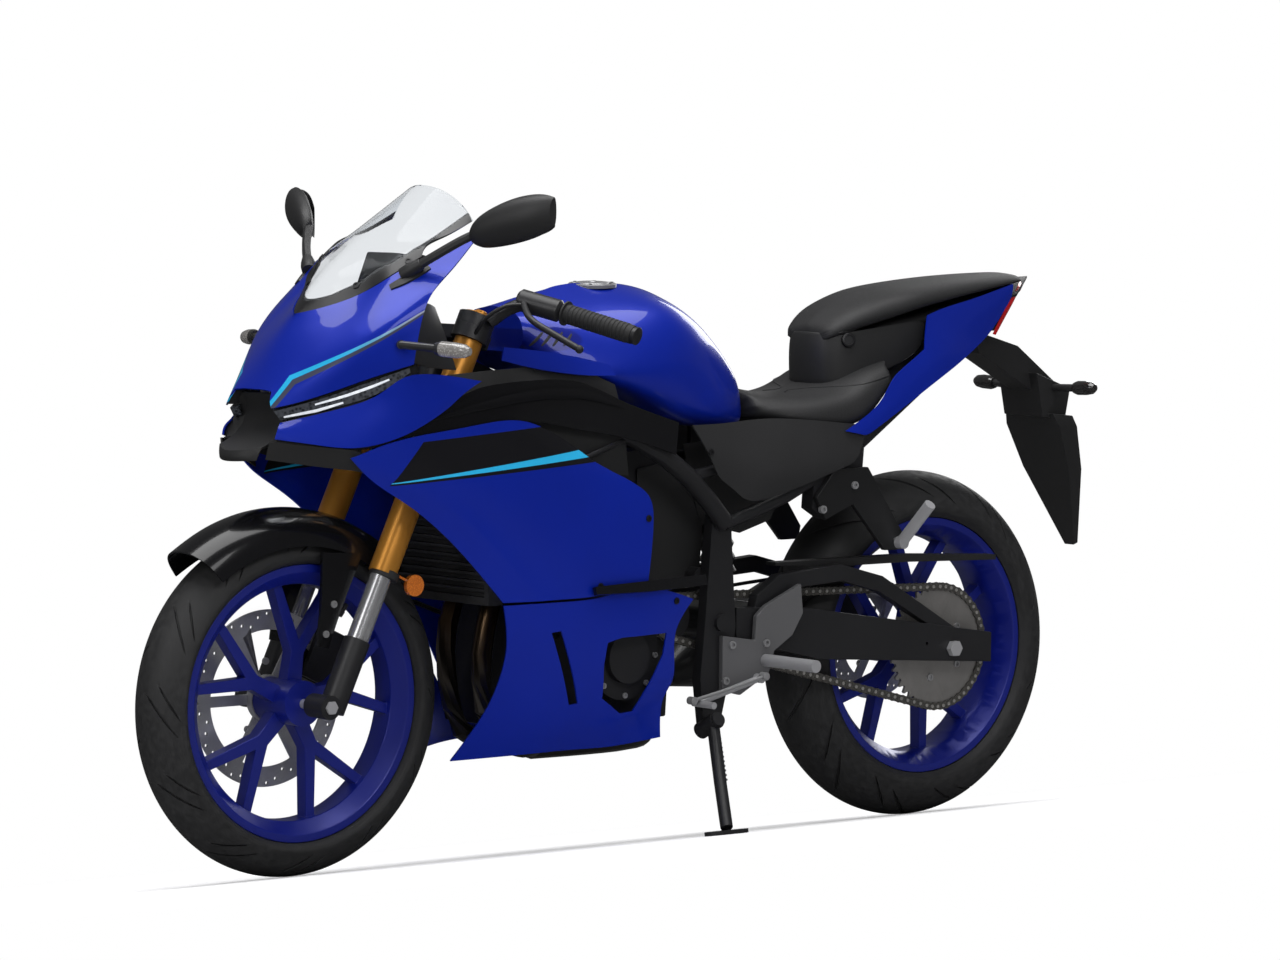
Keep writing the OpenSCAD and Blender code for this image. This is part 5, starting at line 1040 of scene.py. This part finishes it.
rounded("instrument", 0.003, moulded_black)
display_glass = coated("display_glass", (0.01, 0.014, 0.018), 0.08, 200, 0.0, Coat_Weight=1.0)
display_low, display_high = (1152.4, 976), (1138.6, 1026)
display_half, display_length = 62, 52
display_normal = toward(-50, 0, -13.8)
display_points = display_ring(0, -2) + display_ring(0, 1.2) + display_ring(2, 2.2) + display_ring(4, 1.6)
display_pane = (display_points, tube_faces(4, 4))
fitted("instrument_display", "chassis", "gloss_black", display_glass, display_pane, sharp=math.radians(20))

# Headlamps: slim dark lenses with two light bars each, set between the nose and the cheeks.
# The bars are clear light guides with a faint glow.
lens_dark, shader, place = shade("lamp_lens", Coat_Weight=1.0, Coat_Roughness=0.02)
facets = place.cells(160).rise(0.1, 0.7)
feed(shader, Base_Color=facets.blend((0.012, 0.014, 0.018, 1), (0.06, 0.065, 0.075, 1)),
     Roughness=0.06 + place.noise(40) * 0.06)
smoothed("headlamps", 2, lens_dark)
bar_white, shader, place = shade("light_bar", Emission_Strength=0.35, Coat_Weight=1.0)
facets = place.cells(110).rise(0.0, 0.8)
feed(shader, Base_Color=facets.blend((0.85, 0.88, 0.92, 1), (0.6, 0.64, 0.7, 1)),
     Roughness=0.15 + place.noise(60) * 0.1,
     Emission_Color=place.noise(30).blend((0.6, 0.65, 0.7, 1), (1, 1, 1, 1)))
bar_paths = [[(1402, 792.5), (1360, 808), (1326, 822.5), (1302, 834)],
             [(1440, 771.5), (1400, 782.5), (1366, 796)]]
light_bars = ribbons("headlamps", bar_paths, width=5.5, height=1.6, taper=0.4)
fitted("light_bars", "chassis", "lamp_clear", bar_white, *light_bars)


# Indicators and reflectors: black stems with clear lenses in front and smoked ones behind, and amber
# reflectors on the fork. The lenses are moulded with small facets.
def lens_by_width(name, split, bright, dark):
    """Black plastic that turns to lens at a split distance (m) from the bike's middle plane."""
    material, shader, place = shade(name, Coat_Weight=1.0, Coat_Roughness=0.03)
    x, y, z = upright(place)
    lens = y.math("ABSOLUTE", y).rise(split, split + 0.002)
    glass = place.cells(300).rise(0.0, 0.6).blend(bright, dark)
    feed(shader, Base_Color=lens.blend((0.014, 0.014, 0.015, 1), glass), Roughness=0.5 - lens * 0.38)
    return material


clear_lens = lens_by_width("front_lens", 0.266, (0.42, 0.41, 0.4, 1), (0.2, 0.19, 0.18, 1))
smoked_lens = lens_by_width("rear_lens", 0.108, (0.03, 0.028, 0.027, 1), (0.014, 0.013, 0.013, 1))
rounded("front_indicators", 0.0008, clear_lens)
rounded("rear_indicators", 0.0008, smoked_lens)
reflector_amber, shader, place = shade("reflector_amber", Coat_Weight=1.0)
feed(shader, Base_Color=place.cells(420).rise(0.0, 0.6).blend((0.75, 0.22, 0.02, 1), (0.45, 0.11, 0.01, 1)),
     Roughness=0.12 + place.noise(60) * 0.1)
rounded("reflectors", 0.0008, reflector_amber)

# Windscreen: a clear moulded sheet, its lower edge printed black and held by black screws.
# It is set into the nose cowl.
screen_clear, shader, place = shade("screen_clear", Transmission_Weight=1.0, IOR=1.12)
feed(shader, Base_Color=place.noise(4).blend((0.74, 0.77, 0.8, 1), (0.82, 0.84, 0.86, 1)),
     Roughness=0.02 + place.noise(9) * 0.03)
x, y, z = upright(place)
band_points = [(1372, 946), (1318, 969), (1282, 991), (1257, 1013), (1205, 1045), (1085, 1104)]
band = 0.0
for first, second in zip(band_points, band_points[1:]):
    below = 1 - inside(above(x, z, first, second))
    band = band + below * between(x, second[0] * 0.001, first[0] * 0.001)
ink = {"Base Color": (0.01, 0.01, 0.011, 1), "Roughness": 0.3}
printed = place.node("ShaderNodeBsdfPrincipled", {}, ink)
clear = Wire(place.tree, shader.outputs[0])
sheet = place.node("ShaderNodeMixShader", {}, {0: band, 1: clear, 2: printed})
output = place.tree.nodes["Material Output"]
place.tree.links.new(sheet.socket, output.inputs["Surface"])
smoothed("windscreen", 2, screen_clear)

# Seats: foam pads under grained vinyl, crowned and closed, with a piped seam along each side.
# The pads clip to the seat rails.
soft_edge = math.radians(105)
vinyl, shader, place = shade("seat_vinyl")
grain = place.cells(620)
feed(shader, Base_Color=place.noise(11).blend((0.009, 0.009, 0.01, 1), (0.015, 0.015, 0.016, 1)),
     Roughness=0.46 + grain * 0.3, Normal=bump(grain, 0.35, 0.0008))
for node in ("rider_seat", "pillion_seat"):
    smoothed(node, 3, vinyl, soft_edge)
seam_paths = {"rider_seat": [(318, 780), (286, 784), (210, 796), (150, 810)],
              "pillion_seat": [(225, 884), (150, 896), (60, 912), (-40, 928), (-130, 942), (-215, 958)]}
for node, path in seam_paths.items():
    seams = ribbons(node, [path], width=3.6, height=1.5)
    fitted(node + "_seams", "chassis", "seat_cover", vinyl, *seams)

# Lock panel: a black moulded band that closes the tail under the front of the pillion's pad, with the seat's
# lock in its left side.
lock_rows = [[(40, 92, 908), (110, 88, 900), (180, 76, 890), (232, 60, 884), (246, 32, 886), (249, 0, 887)],
             [(40, 96, 888), (110, 92, 874), (180, 80, 862), (236, 64, 856), (251, 34, 856), (254, 0, 856)],
             [(50, 92, 850), (110, 92, 822), (176, 82, 800), (232, 66, 792), (247, 34, 790), (250, 0, 790)]]
lock_sheet = shape_mesh("lock_panel", full_sheet(lock_rows, backward), sharp=math.radians(60))
lock_panel = baked(lock_sheet, "SUBSURF", levels=2, render_levels=2)
lock_panel.materials.append(moulded_black)
added(lock_panel, "lock_panel", "chassis")
barrel_profile = [(-8, 13), (1.5, 13), (2.5, 11.5), (2.5, 9), (1, 8.4), (1, 3)]
lock_place, lock_axis = at(206, 73, 872), toward(0.35, 1, 0.2)
barrel = round_shape(lock_place, lock_axis, barrel_profile)
fitted("seat_lock", "chassis", "black_plastic", bolt_black, barrel)

# Tail: black moulded centre, a red light under a black cap, plate holder with its blank place, and side
# covers. All are moulded, and clipped or screwed to the seat rails.
smoothed("tail_centre", 2, moulded_black, soft_edge)
rounded("plate_holder", 0.0012, moulded_black)
lens_red, shader, place = shade("tail_lens", Coat_Weight=1.0, Coat_Roughness=0.03)
feed(shader, Base_Color=place.noise(60).blend((0.5, 0.008, 0.01, 1), (0.36, 0.005, 0.007, 1)),
     Roughness=0.1 + place.noise(50) * 0.1)
lens_rows = [[(-171, 68, 896), (-189, 68, 921), (-207, 68, 944),
              (-230, 52, 955), (-252, 35, 964), (-296, 0, 973)],
             [(-165, 66, 884), (-183, 66, 909), (-201, 66, 932),
              (-223, 50, 943), (-244, 34, 952), (-288, 0, 961)],
             [(-160, 64, 873), (-178, 64, 898), (-195, 64, 921),
              (-216, 48, 932), (-236, 33, 941), (-281, 0, 950)]]
lens = shape_mesh("tail_lens", full_sheet(lens_rows, (8, 0, 2)), sharp=math.radians(50))
finished(lens, "tail_light", lens_red)
cap_rows = [[(-40, 80, 926), (-42, 42, 944), (-44, 0, 950)],
            [(-110, 75, 934), (-114, 40, 953), (-118, 0, 960)],
            [(-165, 70, 941), (-172, 37, 960), (-178, 0, 967)],
            [(-206, 69, 947), (-220, 35, 964), (-230, 0, 973)],
            [(-254, 35, 966), (-268, 18, 972), (-274, 0, 976)],
            [(-286, 9, 974), (-292, 4, 976), (-297, 0, 977)]]
edge_rows = [[(x + forward, max(y - inset, 0), z) for x, y, z in lens_rows[1]]
             for forward, inset in ((3, 1), (20, 2), (40, 4))]
fitted("tail_cap", "chassis", "black_plastic", moulded_black, full_sheet(cap_rows, (0, 0, -4)),
       full_sheet(edge_rows, (0, 0, -3)), sharp=math.radians(60))
moulded_grey = coated("moulded_grey", (0.02, 0.02, 0.0215), 0.56, 1000, 0.5)
smoothed("side_covers", 2, moulded_grey)

# Plate holder's ribs: six bars moulded across the back of the flap, narrower toward its lower end.
# They stiffen the flap, which is one piece with them.
flap_top, flap_low = Vector((-304, 0, 722)), Vector((-402, 0, 520))
rib_count, rib_r = 6, 4
ribs = []
for k in range(rib_count):
    share = 0.06 + 0.17 * k
    middle = flap_top.lerp(flap_low, share)
    half = 62 - 44 * share
    left, right = (middle.x - 12, half, middle.z), (middle.x - 12, -half, middle.z)
    ribs.append(hose([left, (middle.x - 15, 0, middle.z), right], rib_r, 8))
fitted("plate_ribs", "chassis", "black_plastic", moulded_black, *ribs)

# Foot brackets: cast and machined grey plates with heel guards, bolted to the frame. The black pillion
# brackets bolt to the seat rails.
bracket_grey, shader, place = shade("bracket_grey_metal", Metallic=0.3)
x, y, z = upright(place)
pillion_bracket = z.rise(0.155, 0.16)
feed(shader, Base_Color=pillion_bracket.blend((0.12, 0.12, 0.125, 1), (0.014, 0.014, 0.015, 1)),
     Roughness=0.36 + place.noise(9.0) * 0.12, Normal=bump(place.noise(1100, 3.0), 0.2, 0.0006))
rounded("foot_brackets", 0.0015, bracket_grey)

# Gear linkage and rear brake hose: a thin steel rod between two ball joints on the left, and a black hose
# clipped along the rear arm on the right.
rod_path = [(640, 166, 262), (560, 167, 277), (478, 168, 295)]
joint_profile = [(-8, 7), (6, 7), (7, 5)]
linkage = [hose(rod_path, 3.2, 10, 2)]
for end in (rod_path[0], rod_path[-1]):
    linkage.append(round_shape(at(*end), toward(0, 1, 0), joint_profile, 14))
fitted("shift_rod", "chassis", "steel", bolt_steel, *linkage)
brake_path = [(72, -104, 428), (130, -112, 438), (260, -112, 430), (380, -108, 424), (450, -104, 440)]
brake_line = hose(brake_path, 3.4)
fitted("rear_brake_hose", "chassis", "grip_rubber", hose_black, brake_line)

# Side stand: forged leg and welded foot in satin black, with its coiled return spring.
# It turns on a bolt below the frame, and the spring turns with it.
rounded("side_stand", 0.001, satin_black)
spring_start, spring_end = Vector((578, 151, 224)), Vector((603, 208, 120))
spring_axis = (spring_end - spring_start).normalized()
spring_side = spring_axis.orthogonal().normalized()
spring_up = spring_axis.cross(spring_side)
coils, coil_steps, coil_r, wire_r = 14, 10, 6.0, 2.0
coil = []
for k in range(coils * coil_steps + 1):
    angle = 2 * math.pi * k / coil_steps
    middle = spring_start.lerp(spring_end, k / (coils * coil_steps))
    coil.append(tuple(middle + (spring_side * math.cos(angle) + spring_up * math.sin(angle)) * coil_r))
fitted("stand_spring", "side_stand", "steel", bolt_steel, hose(coil, wire_r, 6, 1))

# Panel and bracket fasteners: black socket screws in the panels and steel bolts in the brackets and covers.
# Each is set where its side-view place meets the panel.
panel_places = {"side_fairings": [(880, 475), (770, 585)], "lower_cowls": [(684, 222), (700, 440)],
                "side_covers": [(600, 690)], "windscreen": [(1291, 985), (1225, 1026)]}
bracket_places = [(534, 351), (548, 289), (456, 350), (254, 619), (328, 579)]
guard_places = [(1336, 458), (1352, 409)]
cover_x, cover_z, cover_bolt_r, cover_bolt_count = 782, 345, 66, 8
cover_steps = round_steps(cover_bolt_count)
cover_places = [(cover_x + cover_bolt_r * c, cover_z + cover_bolt_r * s) for c, s in cover_steps]
screws = [spot for node, places in panel_places.items() for spot in spots_on(node, places)]
fasten("panel_screws", "chassis", screws, 6, 1.6, bolt_black)
fasten("bracket_bolts", "chassis", spots_on("foot_brackets", bracket_places), 7, 4, bolt_steel)
fasten("cover_bolts", "chassis", spots_on("engine_covers", cover_places, (1,)), 5, 3, bolt_steel)
fasten("mudguard_bolts", "steering", spots_on("front_mudguard", guard_places), 6, 2.5, bolt_steel)
